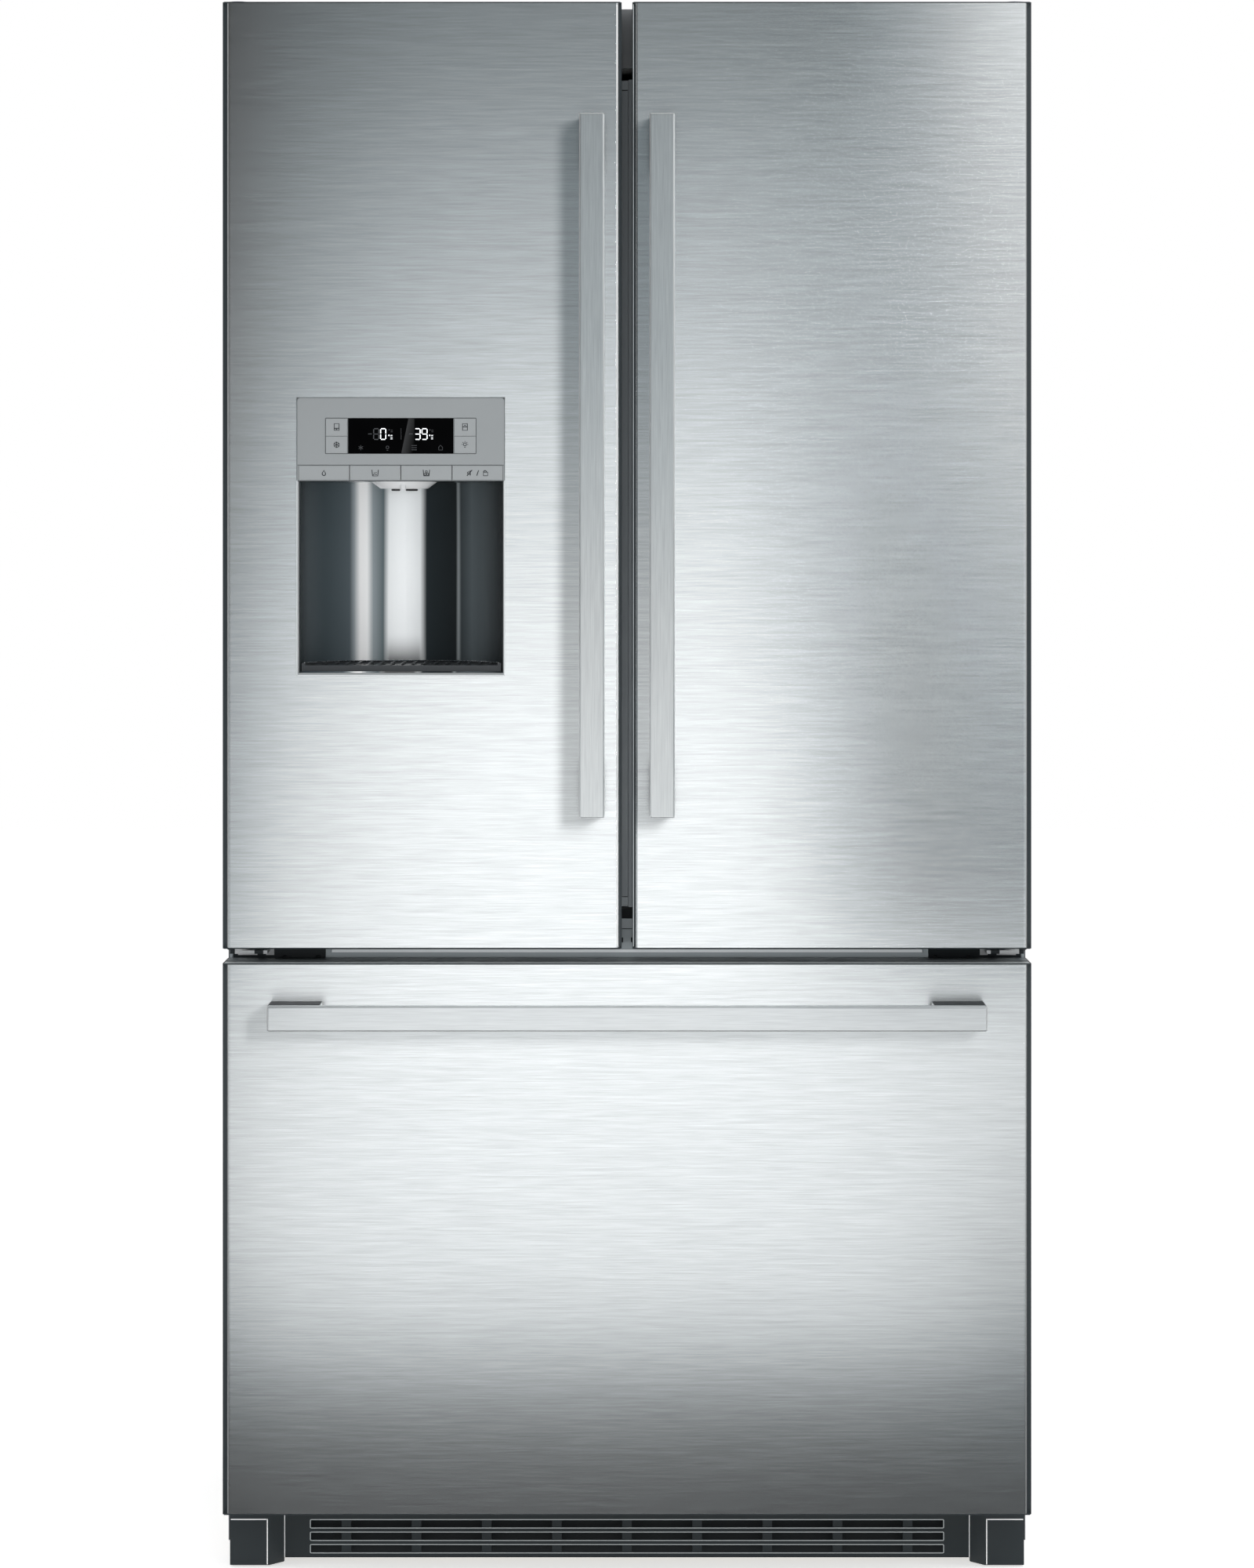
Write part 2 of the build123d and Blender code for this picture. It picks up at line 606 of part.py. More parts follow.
def dairy_lid():
    """The clear flap that hangs in front of the dairy bin and swings up into the fridge."""
    x = side(1, DYKE_INNER[1] + 4.6, DYKE_OUTER[0] - 4.6)
    y, z = LID_PIVOT
    with BuildPart() as lid:
        flap = span_box(x, (y - 1.5, y + 1.5), (DAIRY_Z[1] + 3, z + 3))
        fillet(flap.edges().filter_by(Axis.Y), 2)
        rod("X", (sum(x) / 2, y, z), LID_PIN, x[1] - x[0] + 7)
        span_box((x[0] + 100, x[1] - 100), (y + 1.5, y + 8), (DAIRY_Z[1] + 6, DAIRY_Z[1] + 9))
    save(lid, "dairy_lid")


def right_door():
    """The plain upper door on the right."""
    whole, steel, slab = door_ranges(1)
    with BuildPart() as skin:
        steel_skin(steel, (DOOR_BOTTOM + LIP, DOOR_TOP - LIP))
    save(skin, "door_right_skin")
    face = (steel[0] + SHEET, steel[1] - SHEET)
    panels = [
        (face, (FRONT + SHEET, FRONT + 5), (DOOR_BOTTOM + LIP, DOOR_TOP - LIP)),
        (slab, (FRONT + 5, DOOR_BACK), (DOOR_BOTTOM + 12, DOOR_TOP - 12)),
    ]
    panels += [(side(1, *rib), (DOOR_BACK, DOOR_BACK + DYKE_DEPTH), DYKE_Z) for rib in (DYKE_OUTER, DYKE_INNER)]
    with BuildPart() as core:
        split_boxes(panels)
        core_pin_holes(1)
    save(core, "door_right_core")
    with BuildPart() as frame:
        edge_frame(whole, (DOOR_BOTTOM, DOOR_TOP))
        hinge_holes(1)
    save(frame, "door_right_frame")
    with BuildPart() as seal:
        gasket((8.0, HINGE_X - 1.5), (722, 1728))
    save(seal, "door_right_gasket")
    with BuildPart() as bar:
        handle(HANDLE_X, HANDLE_Z, "Z")
    save(bar, "handle_right")
    with BuildPart() as bins:
        door_bins(1, RIGHT_BINS)
        dairy_bin()
    save(bins, "door_right_bins")
    dairy_lid()


# ---------------------------------------------------------------- dispenser in the left door
BEZEL_X = (-369.4, -136.4)
BEZEL_Z = (1013.3, 1324.8)
BEZEL_FRONT = FRONT - 1.0
MID_X = sum(BEZEL_X) / 2
RECESS_HALF = 113.0
RECESS_DEEP = 122.0
RECESS_Z = (1018.0, 1231.0)
KEY_STRIP_Z = (1231.6, 1248.6)
OPEN_HALF = 114.6
DISPLAY_X = (MID_X - 59.2, MID_X + 59.2)
DISPLAY_Z = (1261.7, 1301.4)
SMALL_KEY = (24.6, 19.6)
KEY_TRAVEL = 1.2
SMALL_TRAVEL = 0.8
CUT_X = (BEZEL_X[0] + 2, BEZEL_X[1] - 2)
CUT_Z = (BEZEL_Z[0] + 2, BEZEL_Z[1] - 2)


def dispenser_bezel():
    """The moulded surround: a panel for the display and keys over the open recess."""
    keys_half = DISPLAY_X[1] - MID_X + SMALL_KEY[0] + 0.5
    with BuildPart() as bezel:
        rim = span_box(BEZEL_X, (BEZEL_FRONT, FRONT), BEZEL_Z)
        fillet(rim.edges().filter_by(Axis.Y), 5)
        span_box(CUT_X, (FRONT, FRONT + 12), CUT_Z)
        opening = (MID_X - OPEN_HALF, MID_X + OPEN_HALF)
        span_box(opening, (BEZEL_FRONT - 1, FRONT + 13), (1016.6, 1249.0), Mode.SUBTRACT)
        window = (MID_X - keys_half, MID_X + keys_half)
        span_box(window, (BEZEL_FRONT - 1, FRONT + 13), DISPLAY_Z, Mode.SUBTRACT)
        front_rim = bezel.edges().filter_by(Axis.X).group_by(Axis.Y)[0]
        chamfer(front_rim, 0.4)
    save(bezel, "dispenser_bezel")


def display_window():
    """The black display glass between the two columns of small keys."""
    with BuildPart() as window:
        span_box(DISPLAY_X, (BEZEL_FRONT + 0.1, FRONT + 5), DISPLAY_Z)
    save(window, "display_window")


def half_ellipse_slab(half, deep, low, high, mode=Mode.ADD):
    """The back half of an ellipse in plan, from the recess's mouth, between two heights."""
    mouth = FRONT + 12
    with BuildSketch(Plane.XY.offset(low)) as outline:
        with Locations((MID_X, mouth)):
            Ellipse(half, deep)
        with Locations((MID_X, mouth - 100)):
            Rectangle(400, 200, mode=Mode.SUBTRACT)
    extrude(outline.sketch, amount=high - low, mode=mode)


def dispenser_recess():
    """The curved steel wall of the recess, with its floor and ceiling."""
    wall = 1.5
    with BuildPart() as recess:
        half_ellipse_slab(RECESS_HALF + wall, RECESS_DEEP + wall, RECESS_Z[0] - 2, RECESS_Z[1] + 2)
        half_ellipse_slab(RECESS_HALF, RECESS_DEEP, *RECESS_Z, Mode.SUBTRACT)
        rod("Z", (MID_X, FRONT + 62, RECESS_Z[1] + 1), 20, 6, Mode.SUBTRACT)
    save(recess, "dispenser_recess")


def dispenser_nozzle():
    """The funnel over the glass: ice falls through the middle, water through a small spout."""
    x, y = MID_X + 1, FRONT + 62
    top = RECESS_Z[1]
    with BuildPart() as nozzle:
        with BuildSketch(Plane.XY.offset(top)):
            with Locations((x, y)):
                Ellipse(37, 34)
        with BuildSketch(Plane.XY.offset(top - 7.5)):
            with Locations((x, y)):
                Ellipse(27, 25)
        loft()
        rod("Z", (x, y, top), 17, 30, Mode.SUBTRACT)
        rod("Z", (x, y - 28, top - 4.5), 3.2, 9)
    save(nozzle, "dispenser_nozzle")


def drip_tray():
    """The lift-out tray on the recess's floor, with a slotted grille."""
    gap = 1.2
    low = RECESS_Z[0] + 0.3
    with BuildPart() as tray:
        half_ellipse_slab(RECESS_HALF - gap, RECESS_DEEP - gap, low, low + 9)
        half_ellipse_slab(RECESS_HALF - gap - 4, RECESS_DEEP - gap - 4, low + 6.5, low + 10, Mode.SUBTRACT)
        for row in range(-6, 7):
            half_length = 30 - abs(row) * 1.6
            x = MID_X + row * 11
            y = FRONT + 66
            span_box((x - 2, x + 2), (y - half_length, y + half_length), (low + 1.5, low + 8), Mode.SUBTRACT)
    save(tray, "drip_tray")


def dispenser_keys():
    """Four wide keys that run the dispenser, each a little proud of the bezel's edge."""
    pitch = 2 * OPEN_HALF / 4
    for place, name in enumerate(("key_water", "key_crushed_ice", "key_ice_cubes", "key_lock")):
        low = MID_X - OPEN_HALF + place * pitch
        with BuildPart() as key:
            cap = span_box((low + 0.35, low + pitch - 0.35), (BEZEL_FRONT + 0.2, FRONT + 8), KEY_STRIP_Z)
            chamfer(cap.edges().group_by(Axis.Y)[0], 0.5)
        save(key, name)


def control_keys():
    """Four small keys beside the display."""
    names = (
        (-1, 1, "key_freezer_temperature"),
        (-1, 0, "key_quick_ice"),
        (1, 1, "key_fridge_temperature"),
        (1, 0, "key_light"),
    )
    for sign, row, name in names:
        near = MID_X + sign * (DISPLAY_X[1] - MID_X + 0.25)
        far = MID_X + sign * (DISPLAY_X[1] - MID_X + SMALL_KEY[0] + 0.25)
        low = DISPLAY_Z[0] + 0.15 + row * (SMALL_KEY[1] + 0.25)
        with BuildPart() as key:
            cap = span_box((near, far), (BEZEL_FRONT + 0.2, FRONT + 6), (low, low + SMALL_KEY[1] - 0.1))
            chamfer(cap.edges().group_by(Axis.Y)[0], 0.4)
        save(key, name)


MULLION = {"x": (-46.0, 2.2), "y": (CABINET_FRONT + 0.3, CABINET_FRONT + 20.3), "z": (749.5, 1687.0)}
PIVOT = (-41.0, CABINET_FRONT + 10.3)
ARMS_Z = (850.0, 1218.0, 1590.0)
ARM_HIGH = 26.0


def mullion():
    """The folding post that closes the gap between the doors, with end caps and hinge pins."""
    with BuildPart() as post:
        span_box(MULLION["x"], MULLION["y"], MULLION["z"])
        long_edges = post.edges().filter_by(Axis.Z)
        fillet(long_edges, 1.5)
        for z in (MULLION["z"][0] + 11, MULLION["z"][1] - 11):
            front = MULLION["y"][0]
            span_box((-50, 10), (front - 1, front + 0.8), (z - 0.5, z + 0.5), Mode.SUBTRACT)
        for z in ARMS_Z:
            high = ARM_HIGH + 1
            gap_y = (MULLION["y"][0] - 1, MULLION["y"][1] + 1)
            span_box((MULLION["x"][0] - 1, PIVOT[0] + 7), gap_y, (z - high / 2, z + high / 2), Mode.SUBTRACT)
            rod("Z", (*PIVOT, z), 2.5, ARM_HIGH + 12)
    save(post, "mullion")


def mullion_hinges():
    """Three arms from the left door's inner rib to the mullion's pins."""
    with BuildPart() as arms:
        for z in ARMS_Z:
            rod("Z", (*PIVOT, z), 5.0, ARM_HIGH)
            span_box((-DYKE_INNER[0], PIVOT[0]), (PIVOT[1] - 3, PIVOT[1] + 3), (z - 13, z + 13))
            rod("Z", (*PIVOT, z), 2.5 + RUN_CLEAR, ARM_HIGH + 2, Mode.SUBTRACT)
    save(arms, "mullion_hinges")


HOUSING = {"x": (CUT_X[0] - 12, CUT_X[1] + 12), "back": FRONT + 150, "z": (1000.0, 1250.0)}
POCKET_BACK = FRONT + 138
PANEL_BACK = FRONT + 40
CHUTE_TOP = 1520.0


def left_core_panels():
    """The left door's insulation round the dispenser's pocket, its ribs, and the chute for the ice."""
    _, steel, slab = door_ranges(-1)
    low, high = DOOR_BOTTOM + 12, DOOR_TOP - 12
    depth = (FRONT + 5, DOOR_BACK)
    pocket_z = (CUT_Z[0], RECESS_Z[1] + 5)
    pads = (FRONT + SHEET, FRONT + 5)
    face = (steel[0] + SHEET, steel[1] - SHEET)
    panels = [
        (face, pads, (DOOR_BOTTOM + LIP, CUT_Z[0])),
        (face, pads, (CUT_Z[1], DOOR_TOP - LIP)),
        ((face[0], CUT_X[0]), pads, CUT_Z),
        ((CUT_X[1], face[1]), pads, CUT_Z),
        (slab, depth, (low, CUT_Z[0])),
        (slab, depth, (CUT_Z[1], high)),
        ((slab[0], CUT_X[0]), depth, CUT_Z),
        ((CUT_X[1], slab[1]), depth, CUT_Z),
        (CUT_X, (PANEL_BACK, DOOR_BACK), (pocket_z[1], CUT_Z[1])),
    ]
    box_x, box_z = HOUSING["x"], HOUSING["z"]
    shell = (DOOR_BACK, HOUSING["back"])
    panels += [
        (box_x, (POCKET_BACK, HOUSING["back"]), (pocket_z[0], pocket_z[1])),
        (box_x, shell, (box_z[0], pocket_z[0])),
        (box_x, shell, (pocket_z[1], box_z[1])),
        ((box_x[0], CUT_X[0]), (DOOR_BACK, POCKET_BACK), pocket_z),
        ((CUT_X[1], box_x[1]), (DOOR_BACK, POCKET_BACK), pocket_z),
        ((MID_X - 45, MID_X + 45), (DOOR_BACK, FRONT + 140), (box_z[1], CHUTE_TOP)),
    ]
    rib_y = (DOOR_BACK, DOOR_BACK + DYKE_DEPTH)
    panels += [
        (side(-1, *DYKE_INNER), rib_y, DYKE_Z),
        (side(-1, *DYKE_OUTER), rib_y, (DYKE_Z[0], box_z[0])),
        (side(-1, *DYKE_OUTER), rib_y, (box_z[1], DYKE_Z[1])),
    ]
    return panels


def left_door():
    """The upper door on the left, which holds the dispenser and the folding mullion."""
    whole, steel, _ = door_ranges(-1)
    with BuildPart() as skin:
        steel_skin(steel, (DOOR_BOTTOM + LIP, DOOR_TOP - LIP), (CUT_X, CUT_Z))
    save(skin, "door_left_skin")
    with BuildPart() as core:
        split_boxes(left_core_panels())
        core_pin_holes(-1)
    save(core, "door_left_core")
    with BuildPart() as frame:
        edge_frame(whole, (DOOR_BOTTOM, DOOR_TOP))
        hinge_holes(-1)
    save(frame, "door_left_frame")
    with BuildPart() as seal:
        gasket((-HINGE_X + 1.5, -20.0), (722, 1728))
    save(seal, "door_left_gasket")
    with BuildPart() as bar:
        handle((-HANDLE_X[1], -HANDLE_X[0]), HANDLE_Z, "Z")
    save(bar, "handle_left")
    with BuildPart() as bins:
        door_bins(-1, LEFT_BINS)
    save(bins, "door_left_bins")


# ---------------------------------------------------------------- freezer drawer
RAIL_Z = (425.0, 465.0)
BASKET = {"half": 384.0, "y": (-296.0, 110.0), "z": (140.0, 418.0)}
TRAY = {"half": 384.0, "y": (-280.0, 350.0), "z": (496.0, 640.0)}


def drawer_front():
    """The drawer's steel front, core, edge frame, gasket and handle."""
    whole = (-HALF, HALF)
    z = (DRAWER_BOTTOM, DRAWER_TOP)
    steel_x = (-HALF + EDGE, HALF - EDGE)
    with BuildPart() as skin:
        steel_skin(steel_x, (z[0] + LIP, z[1] - LIP))
    save(skin, "drawer_skin")
    face_x = (steel_x[0] + SHEET, steel_x[1] - SHEET)
    panels = [
        (face_x, (FRONT + SHEET, FRONT + 5), (z[0] + LIP, z[1] - LIP)),
        ((-HALF + 8, HALF - 8), (FRONT + 5, DOOR_BACK), (z[0] + 12, z[1] - 12)),
        ((-386, 386), (DOOR_BACK, DOOR_BACK + 22), (140, 660)),
    ]
    with BuildPart() as core:
        split_boxes(panels)
    save(core, "drawer_core")
    with BuildPart() as frame:
        edge_frame(whole, z)
    save(frame, "drawer_frame")
    with BuildPart() as seal:
        gasket((-430, 430), (92, 680))
    save(seal, "drawer_gasket")
    with BuildPart() as bar:
        handle((-398.5, 398.5), (621.4, 649.4), "X")
    save(bar, "handle_drawer")


def drawer_rails():
    """Telescopic slides on both sides: fixed, intermediate and drawer members."""
    with BuildPart() as outer:
        for sign in (-1, 1):
            span_box(side(sign, 401.5, INSIDE), (-300, 340), RAIL_Z)
            span_box(side(sign, 386.5, INSIDE), (-280, 360), (478, 488))
    save(outer, "drawer_outer_rails")
    with BuildPart() as middle:
        for sign in (-1, 1):
            span_box(side(sign, 396.4, 401.0), (-298, 330), (RAIL_Z[0] + 5, RAIL_Z[1] - 5))
    save(middle, "drawer_mid_rails")
    with BuildPart() as inner:
        for sign in (-1, 1):
            span_box(side(sign, 388.0, 395.8), (DOOR_BACK + 0.1, 300), RAIL_Z)
    save(inner, "drawer_inner_rails")


def freezer_bins():
    """The deep bin on the drawer's slides and the shallow tray above it."""
    with BuildPart() as basket:
        x = (-BASKET["half"], BASKET["half"])
        open_bin(x, BASKET["y"], BASKET["z"], 3.5, 14)
        for sign in (-1, 1):
            flange_y = (BASKET["y"][0] + 16, BASKET["y"][1] - 16)
            span_box(side(sign, BASKET["half"] - 3, 387.8), flange_y, (BASKET["z"][1] + 0, 430))
    save(basket, "freezer_basket")
    with BuildPart() as tray:
        x = (-TRAY["half"], TRAY["half"])
        open_bin(x, TRAY["y"], TRAY["z"], 3.5, 10)
        for sign in (-1, 1):
            span_box(side(sign, TRAY["half"] - 3, 403), (TRAY["y"][0] + 12, TRAY["y"][1] - 12), (489, 496.5))
    save(tray, "freezer_tray")


# ---------------------------------------------------------------- build
cabinet_wrapper()
cabinet_foam()
back_panel()
fridge_liner()
freezer_liner()
mid_rail()
top_hinges()
hinge_covers()
mid_hinges()
kick_plate()
foot_covers()
leveling_feet()
base_frame()
rear_rollers()
compressor()
condenser_fan()
shelf_frames()
shelf_panes()
air_duct()
ice_maker()
crisper(-1, "crisper_left")
crisper(1, "crisper_right")
right_door()
left_door()
dispenser_bezel()
display_window()
dispenser_recess()
dispenser_nozzle()
drip_tray()
dispenser_keys()
control_keys()
mullion()
mullion_hinges()
drawer_front()
drawer_rails()
freezer_bins()
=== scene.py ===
"""Looks of the French-door refrigerator, around its CAD frame. Metres, +Z up, the doors face -Y."""

import math

import bmesh
import bpy
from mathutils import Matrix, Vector


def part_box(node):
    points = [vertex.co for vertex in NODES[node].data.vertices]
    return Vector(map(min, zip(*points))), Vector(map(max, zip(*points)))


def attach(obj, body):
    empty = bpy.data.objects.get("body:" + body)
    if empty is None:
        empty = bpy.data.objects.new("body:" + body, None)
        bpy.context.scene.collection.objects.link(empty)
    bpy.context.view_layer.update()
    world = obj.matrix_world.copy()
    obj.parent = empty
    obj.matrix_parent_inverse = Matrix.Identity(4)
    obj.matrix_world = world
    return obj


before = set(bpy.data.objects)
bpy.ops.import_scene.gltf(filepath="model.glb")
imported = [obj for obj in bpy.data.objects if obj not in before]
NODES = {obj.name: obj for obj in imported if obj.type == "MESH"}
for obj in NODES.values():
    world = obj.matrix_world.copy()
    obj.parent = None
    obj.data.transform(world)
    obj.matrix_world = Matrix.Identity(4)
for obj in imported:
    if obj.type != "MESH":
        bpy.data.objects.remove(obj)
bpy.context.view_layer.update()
MM = 0.001
RELIEF = 0.15 * MM  # how far printed marks and fine lines stand off their face
SINK = 0.02 * MM  # how far their backs are sunk into it

# ---------------------------------------------------------------- places taken from the frame
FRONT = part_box("door_left_skin")[0].y
DOOR_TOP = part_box("door_left_frame")[1].z
STEEL_FACES = ["door_left_skin", "door_right_skin", "drawer_skin"]

# ---------------------------------------------------------------- eye, reflected card and light levels
EYE_HEIGHT = 1.148
EYE_DISTANCE = 5.25  # from the doors' faces
CARD_OFF = 0.5  # from the doors' faces to the reflected card
CARD_Z = (-0.7, 2.5)
CARD_GAIN = 1.13
WORLD_LEVEL = 0.55
LOW_KEY = 21  # watts
HIGH_KEY = 4.2  # watts


# ---------------------------------------------------------------- camera, stage and lights
def make_camera():
    """Level, far off, with the whole height of the refrigerator in the frame."""
    top_margin = 0.001  # share of the picture's height above the doors
    used_height = 0.9975  # share of it from the doors' top to the foot covers' lower edge
    foot_depth = 1.0158  # how much further off the foot covers are
    picture = ((DOOR_TOP - EYE_HEIGHT) + (EYE_HEIGHT - MM) / foot_depth) / used_height
    horizon = top_margin + (DOOR_TOP - EYE_HEIGHT) / picture
    data = bpy.data.cameras.new("camera")
    data.sensor_width = 36
    data.lens = data.sensor_width * EYE_DISTANCE / picture
    data.shift_y = horizon - 0.5
    camera = bpy.data.objects.new("camera", data)
    camera.location = (0, FRONT - EYE_DISTANCE, EYE_HEIGHT)
    camera.rotation_euler = (math.pi / 2, 0, 0)
    bpy.context.scene.collection.objects.link(camera)
    bpy.context.scene.camera = camera


class Graph:
    """A node tree with short ways to add and join nodes."""

    def __init__(self, tree):
        self.tree = tree
        tree.nodes.clear()

    def node(self, kind, inputs=None, **settings):
        made = self.tree.nodes.new(kind)
        for key, value in settings.items():
            setattr(made, key, value)
        for key, value in (inputs or {}).items():
            if isinstance(value, bpy.types.NodeSocket):
                self.tree.links.new(value, made.inputs[key])
            else:
                made.inputs[key].default_value = value
        return made

    def math(self, operation, a, b=0.0):
        return self.node("ShaderNodeMath", {0: a, 1: b}, operation=operation).outputs[0]

    def spread(self, value, low, high, to_low=0.0, to_high=1.0, smooth=False):
        """Maps low..high of a value to another range, clamped."""
        kind = "SMOOTHSTEP" if smooth else "LINEAR"
        ends = {0: value, 1: low, 2: high, 3: to_low, 4: to_high}
        return self.node("ShaderNodeMapRange", ends, interpolation_type=kind).outputs[0]

    def ramp(self, value, stops, interpolation="EASE"):
        """A grey or coloured ramp over 0..1, from (place, colour) pairs."""
        made = self.node("ShaderNodeValToRGB", {0: value})
        ramp = made.color_ramp
        ramp.interpolation = interpolation
        while len(ramp.elements) < len(stops):
            ramp.elements.new(1.0)
        for element, (place, colour) in zip(ramp.elements, stops):
            element.position = place
            element.color = (*colour, 1) if isinstance(colour, tuple) else (colour, colour, colour, 1)
        return made.outputs[0]

    def place(self, stretch=(1, 1, 1)):
        """The point on the piece, in metres, stretched."""
        point = self.node("ShaderNodeTexCoord").outputs["Object"]
        return self.node("ShaderNodeMapping", {"Vector": point, "Scale": stretch}).outputs[0]

    def noise(self, scale, stretch=(1, 1, 1), detail=3.0, roughness=0.55):
        return self.node("ShaderNodeTexNoise", {
            "Vector": self.place(stretch), "Scale": scale, "Detail": detail, "Roughness": roughness,
        }).outputs[0]

    def axes(self):
        """The point on the piece as its x, y and z."""
        return tuple(self.node("ShaderNodeSeparateXYZ", {0: self.place()}).outputs)

    def grain(self, scale, low, high, stretch=(1, 1, 1), detail=3.0):
        """Noise over a range of values, as a roughness has."""
        return self.spread(self.noise(scale, stretch, detail), 0.3, 0.7, low, high)

    def mix(self, amount, first, second):
        """Blends two colours or sockets."""
        inputs = {0: amount, 6: (*first, 1) if isinstance(first, tuple) else first,
                  7: (*second, 1) if isinstance(second, tuple) else second}
        return self.node("ShaderNodeMix", inputs, data_type="RGBA").outputs[2]


def plane(name, corners):
    """A flat sheet between four corners, for the stage alone."""
    mesh = bpy.data.meshes.new(name)
    mesh.from_pydata(corners, [], [(0, 1, 2, 3)])
    made = bpy.data.objects.new(name, mesh)
    bpy.context.scene.collection.objects.link(made)
    return made


def on_card(place, middle=0.0):
    """Where on the card the camera sees a place of the doors' faces reflected."""
    return place + (place - middle) * CARD_OFF / EYE_DISTANCE


def card_stops(levels):
    """Ramp stops over the card's height, from (height on the doors, brightness) pairs."""
    span = CARD_Z[1] - CARD_Z[0]
    return [((on_card(z, EYE_HEIGHT) - CARD_Z[0]) / span, level) for z, level in levels]


def card_field(g, x, z):
    """The card's brightness by height: one run of levels for most of its width, another for its right end."""
    height = g.spread(z, CARD_Z[0], CARD_Z[1])
    middle = g.ramp(height, card_stops([
        (0.09, 0.005), (0.13, 0.01), (0.17, 0.01), (0.22, 0.20), (0.27, 0.66), (0.33, 0.84), (0.42, 0.84),
        (0.72, 0.75), (0.90, 0.64), (0.98, 0.58), (1.35, 0.31), (1.51, 0.25), (1.67, 0.17), (1.76, 0.12),
    ]), "CARDINAL")
    right = g.ramp(height, card_stops([
        (0.09, 0.01), (0.13, 0.015), (0.17, 0.03), (0.22, 0.16), (0.27, 0.36), (0.33, 0.53), (0.50, 0.68),
        (0.64, 0.76), (0.74, 0.26), (0.98, 0.34), (1.35, 0.54), (1.51, 0.60), (1.76, 0.82),
    ]), "CARDINAL")
    return g.mix(g.math("POWER", g.spread(x, on_card(0.22), on_card(0.435)), 1.8), middle, right)


def card_shade(g, x, z):
    """The share of light left by a dark band that leans across the right door."""
    lean, foot, half_width, depth = -0.11, 0.445, 0.235, 0.86
    centre = g.node("ShaderNodeMath", {0: z, 1: lean, 2: foot}, operation="MULTIPLY_ADD").outputs[0]
    off = g.math("ABSOLUTE", g.math("SUBTRACT", x, centre))
    rise = g.spread(z, 0.60, 0.72, 0.0, depth, smooth=True)
    fall = g.spread(z, 0.95, 1.7, 1.0, 0.0, smooth=True)
    across = g.spread(off, 0.0, half_width, 1.0, 0.0, smooth=True)
    return g.math("SUBTRACT", 1.0, g.math("MULTIPLY", across, g.math("MULTIPLY", rise, fall)))


def card_rim(g, x, z):
    """The dim left end of the card, steeper towards its top and towards the floor."""
    rim = g.ramp(g.spread(x, on_card(-0.45), on_card(-0.20)), [
        (0.0, 0.22), (0.12, 0.51), (0.28, 0.74), (0.56, 0.89), (1.0, 1.0)], "CARDINAL")
    steep = g.math("ADD", g.spread(z, 0.55, 0.75, 0.25, 0.9), g.spread(z, 0.75, 1.8, 0.0, 1.3))
    steep = g.math("ADD", steep, g.spread(z, 0.02, 0.35, 0.5, 0.0))
    return g.math("POWER", rim, steep)


def make_card():
    """A softbox in front of the doors that only reflections see: dim above, bright below, dark at the floor."""
    y = FRONT - CARD_OFF
    half = 2.2
    card = plane("soft_card", [(-half, y, CARD_Z[0]), (half, y, CARD_Z[0]),
                               (half, y, CARD_Z[1]), (-half, y, CARD_Z[1])])
    material = bpy.data.materials.new("soft_card")
    material.use_nodes = True
    g = Graph(material.node_tree)
    x, _, z = g.axes()
    level = g.math("MULTIPLY", g.math("MULTIPLY", card_field(g, x, z), card_shade(g, x, z)), card_rim(g, x, z))
    tint = g.mix(g.spread(level, 0.06, 0.5), (0.80, 1.0, 1.09), (0.97, 0.995, 1.0))
    glow = g.node("ShaderNodeEmission", {0: tint, 1: g.math("MULTIPLY", level, CARD_GAIN)})
    g.node("ShaderNodeOutputMaterial", {0: glow.outputs[0]})
    card.data.materials.append(material)
    for kind in ("camera", "diffuse", "transmission", "shadow", "volume_scatter"):
        setattr(card, "visible_" + kind, False)


def make_world():
    """White behind the object, and a softer grey room for its light and reflections."""
    world = bpy.data.worlds.new("studio")
    bpy.context.scene.world = world
    world.use_nodes = True
    g = Graph(world.node_tree)
    up = g.node("ShaderNodeSeparateXYZ", {0: g.node("ShaderNodeTexCoord").outputs["Generated"]}).outputs[2]
    room = g.ramp(g.spread(up, -1, 1), [(0.0, 0.35), (0.45, 0.55), (0.6, 0.8), (1.0, 1.0)])
    seen = g.node("ShaderNodeLightPath").outputs["Is Camera Ray"]
    soft = g.node("ShaderNodeBackground", {0: room, 1: WORLD_LEVEL})
    white = g.node("ShaderNodeBackground", {0: (1, 1, 1, 1), 1: 1.0})
    both = g.node("ShaderNodeMixShader", {0: seen, 1: soft.outputs[0], 2: white.outputs[0]})
    g.node("ShaderNodeOutputWorld", {0: both.outputs[0]})
    bpy.context.scene.view_settings.view_transform = "Standard"


def area_light(name, place, target, size, watts, spread=180.0, only=None):
    """A rectangular softbox aimed at a point, for the named objects alone or for all but the steel faces."""
    data = bpy.data.lights.new(name, "AREA")
    data.shape = "RECTANGLE"
    data.size, data.size_y = size
    data.energy = watts
    data.spread = math.radians(spread)
    light = bpy.data.objects.new(name, data)
    light.location = place
    light.rotation_mode = "QUATERNION"
    light.rotation_quaternion = (Vector(target) - Vector(place)).to_track_quat("-Z", "Y")
    light.visible_glossy = False
    bpy.context.scene.collection.objects.link(light)
    group = bpy.data.collections.new(name + "_receivers")
    light.light_linking.receiver_collection = group
    for member in only or STEEL_FACES:
        group.objects.link(NODES[member] if member in NODES else bpy.data.objects[member])
    for member in group.collection_objects:
        member.light_linking.link_state = "INCLUDE" if only else "EXCLUDE"


